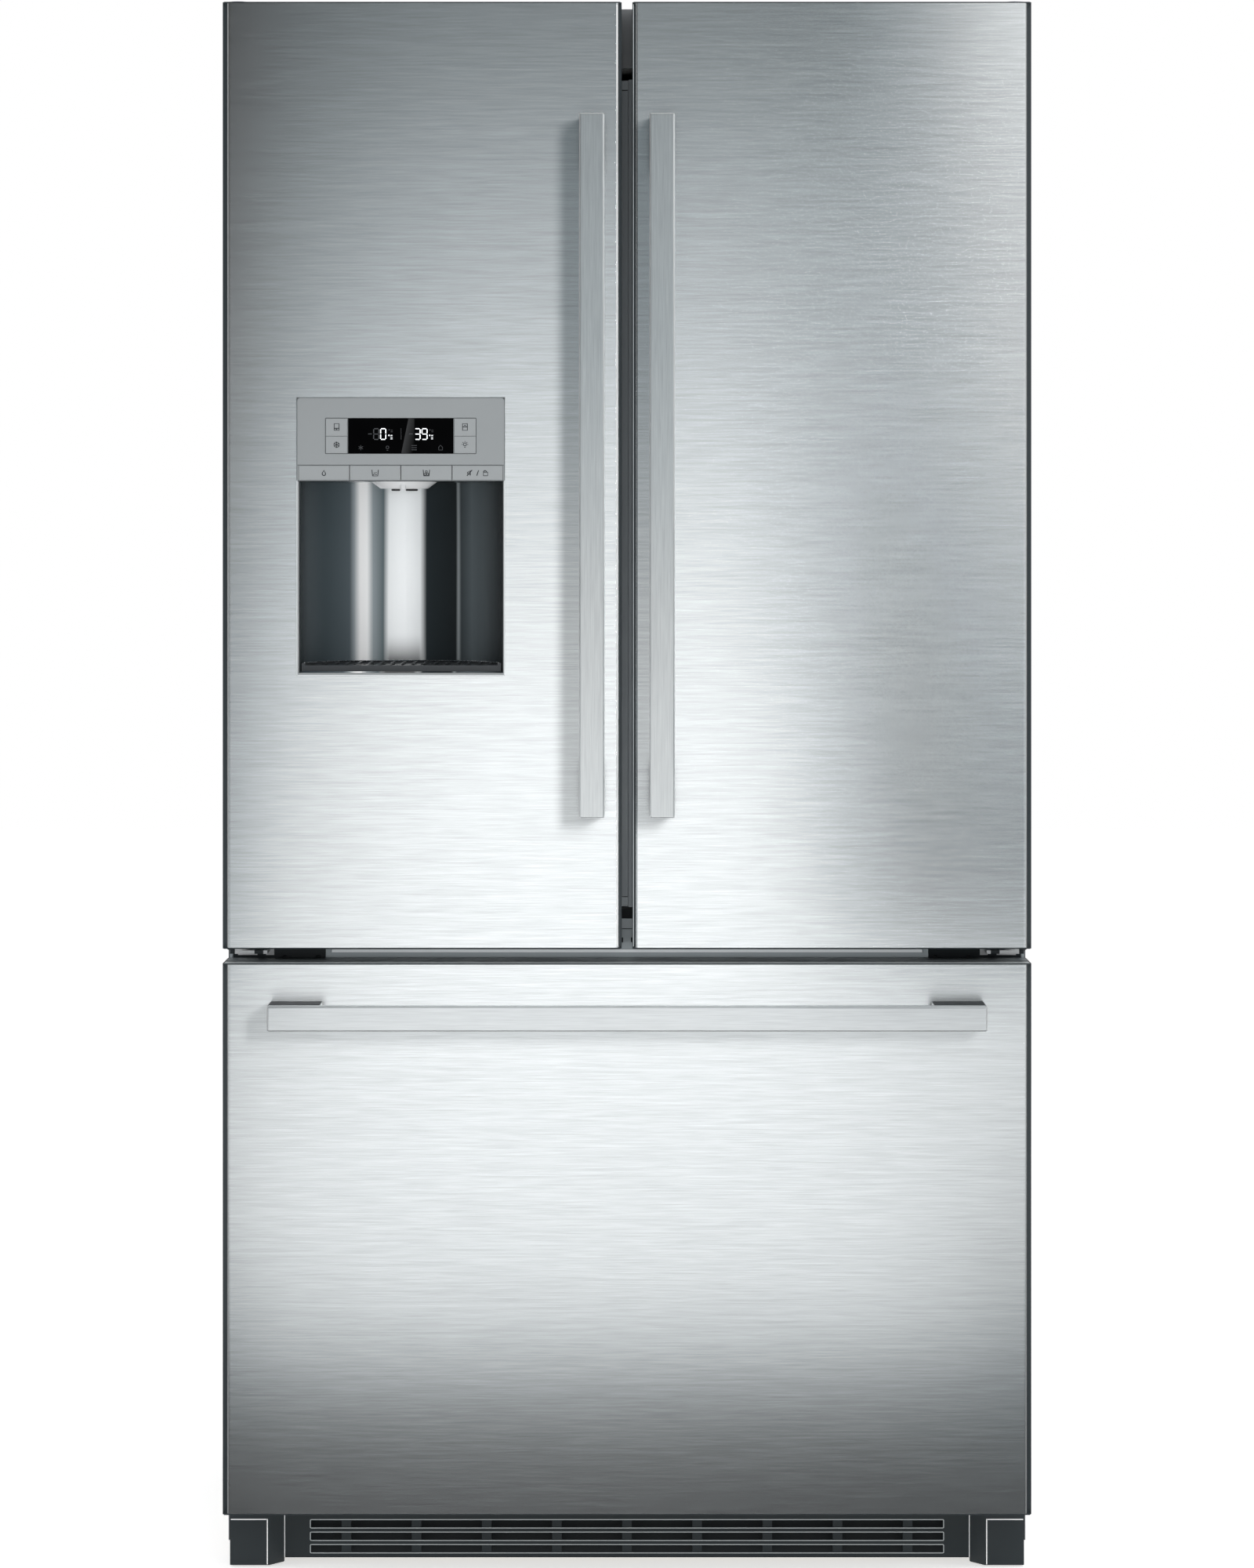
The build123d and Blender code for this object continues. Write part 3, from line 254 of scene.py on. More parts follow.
def make_lights():
    """Keys that throw the handles' shadows on the steel, and broad fills for everything else."""
    key_size = (0.56, 0.9)
    key_x = 0.90
    key_y = FRONT - 2.4
    area_light("low_key", (key_x, key_y, 1.60), (-0.04, FRONT, 0.96), key_size, LOW_KEY, 25, only=STEEL_FACES)
    area_light("high_key", (key_x, key_y, 2.30), (-0.04, FRONT, 1.42), key_size, HIGH_KEY, 28, only=STEEL_FACES)
    area_light("front_fill", (0.6, -3.4, 2.4), (0, 0, 0.9), (2.4, 2.4), 30)
    area_light("low_fill", (0, FRONT - 3.6, 0.74), (0, FRONT, 0.76), (0.5, 0.3), 11)
    area_light("left_fill", (-3.2, -1.0, 1.9), (0, 0, 0.9), (1.8, 1.8), 22)
    area_light("right_fill", (3.2, -0.6, 1.8), (0, 0, 0.9), (1.8, 1.8), 26)
    area_light("back_fill", (1.2, 3.4, 2.2), (0, 0.4, 0.8), (2.2, 2.2), 34)


def make_gap_lights():
    """Low light that reaches into the gaps between the doors and into the dispenser, as a floor bounce does."""
    area_light("gap_light", (0, FRONT - 0.9, 0.72), (0, FRONT, 0.74), (0.3, 0.12), 4.8, only=[
        "mullion", "mid_rail", "mid_rail_ledge_highlight", "mid_rail_cap", "mullion_end_caps", "right_door_lip",
        "drawer_top_trim", "drawer_top_cap"])
    area_light("recess_light", (-0.25, FRONT - 0.8, 1.14), (-0.25, FRONT, 1.12), (0.3, 0.3), 4.4, only=[
        "dispenser_recess"])


def make_floor():
    """A pale floor, bright enough to melt into the background."""
    half = 14.0
    floor = plane("floor", [(-half, -half, 0), (half, -half, 0), (half, half, 0), (-half, half, 0)])
    material = bpy.data.materials.new("floor")
    material.use_nodes = True
    g = Graph(material.node_tree)
    tone = g.mix(g.noise(6.0), (0.86, 0.86, 0.86), (0.90, 0.90, 0.90))
    rough = g.grain(25.0, 0.55, 0.7)
    paint = g.node("ShaderNodeBsdfPrincipled", {"Base Color": tone, "Roughness": rough})
    paint.inputs["Emission Color"].default_value = (1, 1, 1, 1)
    paint.inputs["Emission Strength"].default_value = 0.58
    g.node("ShaderNodeOutputMaterial", {0: paint.outputs[0]})
    floor.data.materials.append(material)
    floor.visible_glossy = False


# ---------------------------------------------------------------- materials
MATERIALS = {}


def surface(name, inputs, bump=None, distance=0.05 * MM, strength=0.5, **fixed):
    """A material of one Principled shader: linked inputs, a bump height, and fixed socket values."""
    material = bpy.data.materials.new(name)
    material.use_nodes = True
    g = Graph(material.node_tree)
    shader = g.node("ShaderNodeBsdfPrincipled")
    for key, make in inputs.items():
        g.tree.links.new(make(g), shader.inputs[key])
    for key, value in fixed.items():
        socket = shader.inputs[key.replace("_", " ").title().replace("Ior", "IOR")]
        socket.default_value = (*value, 1) if isinstance(value, tuple) and len(value) == 3 else value
    if bump:
        height = g.node("ShaderNodeBump", {"Strength": strength, "Distance": distance, "Height": bump(g)})
        g.tree.links.new(height.outputs[0], shader.inputs["Normal"])
    g.node("ShaderNodeOutputMaterial", {0: shader.outputs[0]})
    MATERIALS[name] = material
    return material


def scaled(colour, factor):
    """A colour made lighter or darker."""
    return tuple(min(1.0, channel * factor) for channel in colour)


def brushed(name, colour, along, rough, swing, metallic=1.0, rough_swing=0.008):
    """Brushed steel whose scratches run along one axis."""
    fine = tuple(22 if axis == along else 800 for axis in "XYZ")
    broad = tuple(8 if axis == along else 330 for axis in "XYZ")

    def tone(g):
        streak = g.math("MULTIPLY_ADD", g.noise(1.0, fine, 2.0), 0.7)
        g.tree.links.new(g.math("MULTIPLY", g.noise(1.0, broad, 2.0), 0.3), streak.node.inputs[2])
        return g.mix(g.spread(streak, 0.3, 0.7), scaled(colour, 1 - swing), scaled(colour, 1 + swing))

    def roughness(g):
        return g.grain(1.0, rough - rough_swing, rough + rough_swing, fine, 2.0)

    def tangent(g):
        return g.node("ShaderNodeTangent", direction_type="RADIAL", axis=along).outputs[0]

    return surface(name, {"Base Color": tone, "Roughness": roughness, "Tangent": tangent},
                   lambda g: g.noise(1.0, fine, 2.0), 0.004 * MM, 0.2, metallic=metallic,
                   anisotropic=0.6)


def moulded(name, colour, rough, swing=0.04, grain=900.0, depth=0.03, **fixed):
    """Moulded plastic with a fine grain and slight mottling."""
    return surface(name, {
        "Base Color": lambda g: g.mix(g.noise(14.0), scaled(colour, 1 - swing), scaled(colour, 1 + swing)),
        "Roughness": lambda g: g.grain(60.0, rough - 0.05, rough + 0.07),
    }, lambda g: g.noise(grain, detail=2.0), depth * MM, 0.4, **fixed)


def painted(name, colour, rough, swing=0.03, peel=260.0, depth=0.05, **fixed):
    """Painted sheet steel with orange peel and faint patches of dust."""
    def tone(g):
        dust = g.math("MULTIPLY", g.spread(g.noise(5.0, (1, 1, 2.0)), 0.45, 0.8), 0.6)
        return g.mix(dust, scaled(colour, 1 - swing), scaled(colour, 1 + 2 * swing))
    return surface(name, {
        "Base Color": tone,
        "Roughness": lambda g: g.grain(30.0, rough - 0.06, rough + 0.08),
    }, lambda g: g.noise(peel, detail=2.0), depth * MM, 0.35, **fixed)


def cast(name, colour, rough, metallic, scratch=70.0):
    """Bare or plated steel with directionless fine scratches."""
    return surface(name, {
        "Base Color": lambda g: g.mix(g.noise(scratch), scaled(colour, 0.9), scaled(colour, 1.06)),
        "Roughness": lambda g: g.grain(220.0, rough - 0.08, rough + 0.1, (1, 1, 4)),
    }, lambda g: g.noise(400.0, (1, 1, 3)), 0.02 * MM, 0.4, metallic=metallic)


def see_through(name, colour, rough, ior, edge):
    """Glass or clear plastic, denser towards its grazing edges, with faint surface waviness."""
    def tone(g):
        facing = g.node("ShaderNodeLayerWeight", {"Blend": 0.35}).outputs["Facing"]
        return g.mix(facing, colour, edge)
    return surface(name, {
        "Base Color": tone,
        "Roughness": lambda g: g.grain(40.0, rough, rough + 0.05),
    }, lambda g: g.noise(35.0), 0.04 * MM, 0.2, transmission_weight=0.94, ior=ior)


def glowing(name, colour, strength):
    """A lit mark, a little uneven as a printed diode window is."""
    return surface(name, {
        "Emission Color": lambda g: g.mix(g.noise(700.0), scaled(colour, 0.9), scaled(colour, 1.0)),
        "Roughness": lambda g: g.grain(90.0, 0.35, 0.5),
    }, base_color=scaled(colour, 0.4), emission_strength=strength)


def recess_with_painted_reflections():
    """Polished concave steel whose base colour carries painted reflections: upright light and dark bands like
    those a curved brushed sheet reflects, and painted shade on the bright middle band towards the recess's
    lower end.
    """
    low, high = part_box("dispenser_recess")

    def tone(g):
        x, _, z = g.axes()
        across = g.math("ADD", g.spread(x, low.x, high.x),
                        g.grain(1.0, -0.004, 0.004, (60, 60, 2), 1.0))
        dark, grey = (0.020, 0.027, 0.031), (0.10, 0.125, 0.14)
        # painted reflections: light and dark bands across the recess, in the base colour
        painted_reflection_bands = g.ramp(across, [
            (0.0, (0.012, 0.016, 0.018)), (0.03, (0.05, 0.066, 0.075)), (0.10, (0.06, 0.08, 0.09)),
            (0.22, grey), (0.245, (0.34, 0.38, 0.40)), (0.275, (1.0, 1.0, 1.0)), (0.305, (1.0, 1.0, 1.0)),
            (0.335, (0.30, 0.34, 0.36)), (0.385, (0.10, 0.13, 0.14)), (0.415, (0.78, 0.80, 0.81)),
            (0.57, (0.84, 0.86, 0.87)), (0.605, dark), (0.75, (0.016, 0.020, 0.022)),
            (0.762, (0.30, 0.33, 0.34)), (0.776, (0.05, 0.06, 0.066)), (0.83, (0.10, 0.12, 0.13)),
            (0.93, (0.045, 0.055, 0.060)), (1.0, (0.008, 0.010, 0.011))], "LINEAR")
        # painted shade: the bright middle band darkens over the lowest 45 mm of the recess
        low_end = g.spread(z, low.z, low.z + 0.045, 0.12, 1.0, smooth=True)
        inner = g.math("MULTIPLY", g.spread(across, 0.38, 0.42), g.spread(across, 0.60, 0.56))
        painted_bottom_shade = g.math("SUBTRACT", 1.0, g.math("MULTIPLY", inner, g.math("SUBTRACT", 1.0, low_end)))
        shade = g.node("ShaderNodeCombineXYZ", {0: painted_bottom_shade, 1: painted_bottom_shade, 2: painted_bottom_shade}).outputs[0]
        return g.node("ShaderNodeMix", {0: 1.0, 6: painted_reflection_bands, 7: shade}, data_type="RGBA",
                      blend_type="MULTIPLY").outputs[2]

    return surface("steel_recess", {
        "Base Color": tone,
        "Roughness": lambda g: g.grain(1.0, 0.30, 0.38, (1300, 1300, 30), 2.0),
        "Tangent": lambda g: g.node("ShaderNodeTangent", direction_type="RADIAL", axis="Z").outputs[0],
    }, lambda g: g.noise(1.0, (1300, 1300, 30), 2.0), 0.004 * MM, 0.2, metallic=0.5, anisotropic=0.5)


def plated_bracket():
    """The middle hinges: a dark painted plate with bright plated bushes at their outer ends."""
    bush_x, clip_x, plate_z = (0.4195, 0.4415), (0.4005, 0.4095), 0.6945

    def plated(g):
        x, _, z = g.axes()
        out = g.math("ABSOLUTE", x)
        bush, clip = (g.math("MULTIPLY", g.math("GREATER_THAN", out, near), g.math("LESS_THAN", out, far))
                      for near, far in (bush_x, clip_x))
        return g.math("MULTIPLY", g.math("MAXIMUM", bush, clip), g.math("GREATER_THAN", z, plate_z))

    def tone(g):
        return g.mix(plated(g), (0.022, 0.027, 0.031), (0.80, 0.81, 0.82))

    return surface("bracket", {
        "Base Color": tone,
        "Roughness": lambda g: g.grain(220.0, 0.28, 0.42, (1, 1, 4)),
    }, lambda g: g.noise(400.0, (1, 1, 3)), 0.02 * MM, 0.4, metallic=0.3)


def painted_glass_sheen():
    """The slanted grey sheen over the display glass, a painted reflection that glows, brightest at its left
    edge and fading to the right.
    """
    low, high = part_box("display_window")
    middle = (low.x + high.x) / 2

    def fading(g):
        x, _, z = g.axes()
        lean = g.math("MULTIPLY", g.math("SUBTRACT", z, low.z), 0.2)
        across = g.math("SUBTRACT", x, lean)
        return g.spread(across, middle + 0.6 * MM, middle + 13 * MM, 0.045, 0.0)

    return surface("sheen", {
        "Emission Strength": fading,
        "Roughness": lambda g: g.grain(90.0, 0.35, 0.5),
    }, base_color=(0.001, 0.001, 0.001), emission_color=(0.93, 0.96, 1.0), specular_ior_level=0.03)


def make_materials():
    """Every finish, under the name of its slot or of the detail that wears it."""
    brushed("steel_front", (0.74, 0.76, 0.77), "X", 0.25, 0.11, 0.94)
    brushed("steel_handle", (0.88, 0.90, 0.91), "Z", 0.34, 0.11, 0.9)
    brushed("steel_handle_across", (0.84, 0.86, 0.87), "X", 0.34, 0.10, 0.9)
    # the dispenser recess, with painted reflections and painted shade in its colour
    recess_with_painted_reflections()
    painted("door_edge", (0.030, 0.038, 0.043), 0.36, specular_ior_level=0.4)
    moulded("core_white", (0.80, 0.81, 0.81), 0.36)
    surface("foam", {
        "Base Color": lambda g: g.mix(g.noise(90.0), (0.62, 0.55, 0.36), (0.78, 0.71, 0.50)),
        "Roughness": lambda g: g.grain(120.0, 0.75, 0.95),
    }, lambda g: g.noise(450.0, detail=5.0), 0.5 * MM, 0.6)
    painted("wrapper_grey", (0.20, 0.21, 0.22), 0.42)
    painted("rail_grey", (0.24, 0.27, 0.285), 0.34)
    # ledge_grey: the painted highlight on the lit top of the mid rail's ledge
    painted("ledge_grey", (0.62, 0.65, 0.67), 0.34)
    surface("back_sheet", {
        "Base Color": lambda g: g.mix(g.noise(18.0), (0.42, 0.43, 0.44), (0.52, 0.53, 0.54)),
        "Roughness": lambda g: g.grain(60.0, 0.38, 0.55, (3, 1, 3)),
    }, lambda g: g.noise(110.0, detail=1.0), 0.08 * MM, 0.4, metallic=0.85)
    moulded("liner_white", (0.82, 0.83, 0.83), 0.30, 0.02, 500.0)
    cast("hinge_steel", (0.62, 0.63, 0.65), 0.30, 1.0)
    plated_bracket()
    moulded("cover_grey", (0.22, 0.23, 0.24), 0.45)
    painted("kick_grey", (0.036, 0.045, 0.050), 0.40, 0.05)
    moulded("foot_black", (0.03, 0.03, 0.032), 0.5)
    painted("base_black", (0.04, 0.04, 0.042), 0.45)
    moulded("roller_nylon", (0.62, 0.61, 0.56), 0.5)
    painted("machine_black", (0.022, 0.022, 0.024), 0.3)
    moulded("fan_black", (0.03, 0.03, 0.03), 0.4)
    moulded("shelf_rim", (0.76, 0.77, 0.78), 0.32)
    see_through("shelf_glass", (0.93, 0.97, 0.95), 0.02, 1.5, (0.45, 0.68, 0.60))
    moulded("duct_white", (0.80, 0.81, 0.82), 0.34)
    moulded("ice_white", (0.78, 0.80, 0.82), 0.30)
    see_through("clear_bin", (0.93, 0.95, 0.97), 0.06, 1.45, (0.62, 0.70, 0.76))
    moulded("gasket_grey", (0.45, 0.46, 0.47), 0.62, 0.05, 1400.0)
    cast("slide_steel", (0.60, 0.61, 0.62), 0.26, 1.0)
    moulded("freezer_bin", (0.80, 0.83, 0.86), 0.34)
    painted("mullion_grey", (0.19, 0.21, 0.225), 0.34)
    painted("cap_grey", (0.23, 0.255, 0.27), 0.34)
    painted("bezel_grey", (0.37, 0.39, 0.40), 0.34, 0.02, 900.0, 0.02, metallic=0.35)
    surface("display_black", {
        "Base Color": lambda g: g.mix(g.noise(30.0), (0.0005, 0.0005, 0.0006), (0.0015, 0.0015, 0.0018)),
        "Roughness": lambda g: g.grain(70.0, 0.20, 0.28),
    }, specular_ior_level=0.03)
    painted("key_grey", (0.40, 0.42, 0.43), 0.36, 0.02, 900.0, 0.02, metallic=0.35)
    moulded("nozzle_white", (0.80, 0.81, 0.82), 0.22)
    moulded("tray_dark", (0.05, 0.055, 0.06), 0.35)
    moulded("ink", (0.012, 0.014, 0.018), 0.5, 0.1)
    # light_line, bright_line and rim_line colour painted highlights (rim_line also the drawer's trim);
    # shade_line colours painted shade along the bezel and dark joints round the keys
    painted("light_line", (0.70, 0.73, 0.74), 0.3)
    painted("shade_line", (0.13, 0.145, 0.15), 0.4)
    painted("bright_line", (0.94, 0.95, 0.95), 0.3)
    painted("rim_line", (0.52, 0.56, 0.57), 0.35)
    moulded("line_dark", (0.012, 0.014, 0.016), 0.5, 0.1)
    # baffle_black: the black sheet that stands in for the shade behind the kick slots
    moulded("baffle_black", (0.022, 0.027, 0.030), 0.6, 0.1)
    moulded("baffle_rib", (0.060, 0.070, 0.076), 0.5, 0.1)
    moulded("lamp_cover", (0.90, 0.91, 0.92), 0.25)
    moulded("outlet_dark", (0.02, 0.02, 0.022), 0.4)
    cast("copper", (0.72, 0.38, 0.24), 0.28, 1.0)
    glowing("lit", (0.95, 0.98, 1.0), 1.25)
    glowing("dim", (0.10, 0.105, 0.115), 0.12)
    # sheen: a painted reflection that glows over the display glass
    painted_glass_sheen()


HANDLES = ("handle_left", "handle_right", "handle_drawer")
SLOT_OVERRIDE = {"handle_drawer": "steel_handle_across", "mid_hinges": "bracket"}


def dress_nodes():
    """Puts the right finish into every slot of every CAD node."""
    for name, node in NODES.items():
        for index, old in enumerate(node.data.materials):
            slot = SLOT_OVERRIDE.get(name, old.name.split(".")[0])
            node.data.materials[index] = MATERIALS[slot]
    for name in HANDLES:
        NODES[name].visible_glossy = False


# ---------------------------------------------------------------- mesh helpers
def piece(name, bm, body, material, smooth=True):
    """Turns a bmesh into a piece that rides on a body."""
    bmesh.ops.recalc_face_normals(bm, faces=bm.faces)
    mesh = bpy.data.meshes.new(name)
    bm.to_mesh(mesh)
    bm.free()
    made = bpy.data.objects.new(name, mesh)
    bpy.context.scene.collection.objects.link(made)
    mesh.materials.append(MATERIALS[material])
    for face in mesh.polygons:
        face.use_smooth = smooth
    if smooth:
        mesh.set_sharp_from_angle(angle=math.radians(35))
    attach(made, body)
    return made


def add_block(bm, low, high, bevel=0.0):
    """A box with softened edges between two corners."""
    low, high = Vector(low), Vector(high)
    new = bmesh.ops.create_cube(bm, size=1.0)["verts"]
    for vert in new:
        vert.co = Vector(((low[i] + high[i]) / 2 + vert.co[i] * (high[i] - low[i])) for i in range(3))
    if bevel:
        edges = list({edge for vert in new for edge in vert.link_edges})
        bmesh.ops.bevel(bm, geom=edges, offset=bevel, segments=2, profile=0.6, affect="EDGES")


def turns(count):
    """Evenly spaced angles round a circle."""
    return [2 * math.pi * k / count for k in range(count)]


def heading(points, index, closed):
    """The direction of a path at one of its points."""
    count = len(points)
    before = points[index - 1] if index or closed else points[index]
    after = points[(index + 1) % count] if index < count - 1 or closed else points[index]
    return (Vector(after) - Vector(before)).normalized()


def bridge(bm, rings, closed):
    """Joins rings of vertices into a tube, which gets flat ends unless it closes on itself."""
    sides = len(rings[0])
    for here, there in zip(rings, rings[1:] + rings[:1] if closed else rings[1:]):
        for k in range(sides):
            bm.faces.new((here[k], here[(k + 1) % sides], there[(k + 1) % sides], there[k]))
    if not closed:
        bm.faces.new(rings[0])
        bm.faces.new(rings[-1][::-1])


def sweep(bm, path, radius, sides=10, closed=False):
    """A round tube along a list of points."""
    points = [Vector(p) for p in path]
    rings = []
    for index, point in enumerate(points):
        along = heading(points, index, closed)
        helper = Vector((0, 1, 0)) if abs(along.y) < 0.9 else Vector((1, 0, 0))
        across = along.cross(helper).normalized()
        other = along.cross(across)
        rings.append([bm.verts.new(point + radius * (math.cos(a) * across + math.sin(a) * other))
                      for a in turns(sides)])
    bridge(bm, rings, closed)


def arc(centre, radius, start, stop, steps=10):
    """Points (x, z) on an arc, angles in degrees."""
    angles = [math.radians(start + (stop - start) * k / steps) for k in range(steps + 1)]
    return [(centre[0] + radius * math.cos(a), centre[1] + radius * math.sin(a)) for a in angles]


def rounded_loop(x, z, radius, steps=5):
    """Points (x, z) round a rectangle with rounded corners."""
    (x0, x1), (z0, z1) = x, z
    corners = [(x1 - radius, z1 - radius, 0), (x0 + radius, z1 - radius, 90),
               (x0 + radius, z0 + radius, 180), (x1 - radius, z0 + radius, 270)]
    return [point for cx, cz, start in corners for point in arc((cx, cz), radius, start, start + 90, steps)]


def ribbon(bm, points, width, y, depth=RELIEF, closed=False):
    """A flat raised line of that width along (x, z) points, on a face at that y."""
    half = width / 2
    rows = []
    for index, (x, z) in enumerate(points):
        along = heading(points, index, closed)
        side = Vector((-along.y, along.x)) * half
        rows.append([bm.verts.new(corner) for corner in (
            (x + side.x, y, z + side.y), (x - side.x, y, z - side.y),
            (x - side.x, y - depth, z - side.y), (x + side.x, y - depth, z + side.y))])
    bridge(bm, rows, closed)


def add_screw(bm, centre, normal, radius, height):
    """A pan head with a cross recess, its axis along X, Y or Z."""
    steps = 24
    out = Vector({"X": (1, 0, 0), "-X": (-1, 0, 0), "Y": (0, 1, 0), "-Y": (0, -1, 0), "Z": (0, 0, 1)}[normal])
    helper = Vector((0, 0, 1)) if abs(out.z) < 0.9 else Vector((1, 0, 0))
    u = out.cross(helper).normalized()
    v = out.cross(u)
    centre = Vector(centre)
    profile = [(1.0, 0.0), (1.0, 0.45), (0.86, 0.8), (0.55, 1.0)]
    rings = []
    for r, h in profile:
        rings.append([bm.verts.new(centre + out * height * h + radius * r * (math.cos(a) * u + math.sin(a) * v))
                      for a in turns(steps)])
    arm, slot = 0.42, 0.10
    cross = []
    for a in turns(steps):
        c, s = math.cos(a), math.sin(a)
        reach = min(arm, slot / max(min(abs(c), abs(s)), 0.02))
        cross.append(bm.verts.new(centre + out * height + radius * reach * (c * u + s * v)))
    rings.append(cross)
    rings.append([bm.verts.new(vert.co - out * height * 0.6) for vert in cross])
    for here, there in zip(rings, rings[1:]):
        for k in range(steps):
            bm.faces.new((here[k], here[(k + 1) % steps], there[(k + 1) % steps], there[k]))
    bm.faces.new(rings[0][::-1])
    bm.faces.new(rings[-1])


# ---------------------------------------------------------------- soft edges on the CAD nodes
EDGE_ROUND = {"handle_left": 1.6, "handle_right": 1.6, "handle_drawer": 1.6, "kick_plate": 0.5,
              "foot_covers": 0.8, "mullion": 0.6, "freezer_basket": 1.2, "freezer_tray": 1.2,
              "crisper_left": 1.0, "crisper_right": 1.0, "air_duct": 1.5, "ice_maker": 2.0,
              "shelf_frames": 0.8, "hinge_covers": 0.8, "door_left_bins": 0.8, "door_right_bins": 0.8,
              "mid_rail": 0.6, "mid_hinges": 0.4, "door_left_frame": 0.6, "door_right_frame": 0.6,
              "drawer_frame": 0.6, "dispenser_bezel": 0.4, "cabinet_wrapper": 0.6}


def soften_edges():
    """Rounds the outer edges of the nodes above, in mm, without changing their meshes."""
    for name, radius in EDGE_ROUND.items():
        node = NODES[name]
        weld = node.modifiers.new("weld", "WELD")
        weld.merge_threshold = 0.005 * MM
        bevel = node.modifiers.new("edges", "BEVEL")
        bevel.width = radius * MM
        bevel.segments = 2
        bevel.limit_method = "ANGLE"
        bevel.angle_limit = math.radians(40)
        bevel.harden_normals = True
        bevel.use_clamp_overlap = True


# ---------------------------------------------------------------- dispenser marks
def icon(name, strokes, width=0.9 * MM):
    """A dark line icon on the face of a key. Strokes are lists of (x, z) points in mm from the key's centre."""
    low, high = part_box(name)
    middle = (low + high) / 2
    bm = bmesh.new()
    for points, closed in strokes:
        path = [(middle.x + x * MM, middle.z + z * MM) for x, z in points]
        ribbon(bm, path, width, low.y + SINK, closed=closed)
    piece(name + "_icon", bm, name + "_cap", "ink", smooth=False)


def cross_lines(radius, count, centre=(0, 0)):
    """Lines through a centre, evenly turned."""
    lines = []
    for k in range(count):
        a = math.pi * k / count + math.pi / 2
        dx, dz = radius * math.cos(a), radius * math.sin(a)
        lines.append(([(centre[0] - dx, centre[1] - dz), (centre[0] + dx, centre[1] + dz)], False))
    return lines


def box_loop(x0, x1, z0, z1):
    """The corners of an upright rectangle."""
    return [(x0, z0), (x1, z0), (x1, z1), (x0, z1)]


def polar(radius, angle, rise=0.0):
    """The point (x, z) at an angle round a centre that lies above the origin by the rise."""
    return radius * math.cos(angle), rise + radius * math.sin(angle)


def make_icons():
    """A drop, two glasses, a speaker and a lock, two cabinets, a snow star and a lamp on the keys."""
    drop = [(0, 2.9)] + arc((0, -1.0), 1.9, 25, -205, 14)
    icon("key_water", [(drop, True)])
    glass = [([(-3.6, 3.5), (-2.9, -3.3), (2.9, -3.3), (3.6, 3.5)], False)]
    crushed = [([(x, z), (x + 0.9, z + 0.8)], False)
               for x, z in ((-2.2, -2.4), (-0.5, -1.9), (1.0, -2.4), (-1.4, -0.4), (0.6, 0.0))]
    icon("key_crushed_ice", glass + crushed)
    cubes = [(box_loop(x, x + 2.0, z, z + 2.0), True) for x, z in ((-2.5, -2.7), (0.4, -2.5), (-1.1, 0.3))]
    icon("key_ice_cubes", glass + cubes)
    speaker = [([(-11.2, 1.0), (-9.9, 1.0), (-8.2, 2.7), (-8.2, -2.7), (-9.9, -1.0), (-11.2, -1.0)], True),
               ([(-12.0, -3.2), (-6.2, 3.2)], False), ([(-1.0, -3.0), (1.0, 3.0)], False)]
    lock = [(box_loop(6.4, 11.2, -3.1, 0.9), True), (arc((8.2, 0.9), 1.7, 0, 180, 8), False)]
    icon("key_lock", speaker + lock)
    for name, shelf, mark in (("key_freezer_temperature", -1.4, -2.6), ("key_fridge_temperature", 0.2, 1.9)):
        cabinet = (box_loop(-2.7, 2.7, -3.7, 3.7), True)
        icon(name, [cabinet, ([(-2.7, shelf), (2.7, shelf)], False), ([(-0.9, mark), (0.9, mark)], False)])
    tips = []
    for k in range(6):
        a = math.pi * k / 3 + math.pi / 2
        tips += [([polar(2.1, a), polar(3.4, a + turn)], False) for turn in (-0.42, 0.42)]
    icon("key_quick_ice", cross_lines(3.6, 3) + tips, width=0.6 * MM)
    lamp = [(arc((0, 0.4), 1.7, -55, 235, 14), True), ([(-0.9, -2.6), (0.9, -2.6)], False)]
    rays = [([polar(2.6, math.pi * k / 4, 0.4), polar(3.6, math.pi * k / 4, 0.4)], False) for k in range(5)]
    icon("key_light", lamp + rays, width=0.7 * MM)


PRINT = 0.06 * MM  # how far the display's marks stand off the glass
SEGMENTS = {"a": ((0, 2), (1, 2)), "b": ((1, 2), (1, 1)), "c": ((1, 1), (1, 0)), "d": ((0, 0), (1, 0)),
            "e": ((0, 0), (0, 1)), "f": ((0, 1), (0, 2)), "g": ((0, 1), (1, 1))}
DIGITS = {"0": "abcdef", "3": "abgcd", "8": "abcdefg", "9": "abfgcd"}


def seven_segment(bm, digit, x, z, width, height, y, lit):
    """The lit or the unlit bars of one digit, its lower left corner at (x, z)."""
    gap = 0.1
    for name, ((u0, v0), (u1, v1)) in SEGMENTS.items():
        if (name in DIGITS[digit]) != lit:
            continue
        start = Vector((x + u0 * width, z + v0 * height / 2))
        end = Vector((x + u1 * width, z + v1 * height / 2))
        path = [tuple(start.lerp(end, gap)), tuple(start.lerp(end, 1 - gap))]
        ribbon(bm, path, 1.1 * MM, y, PRINT)


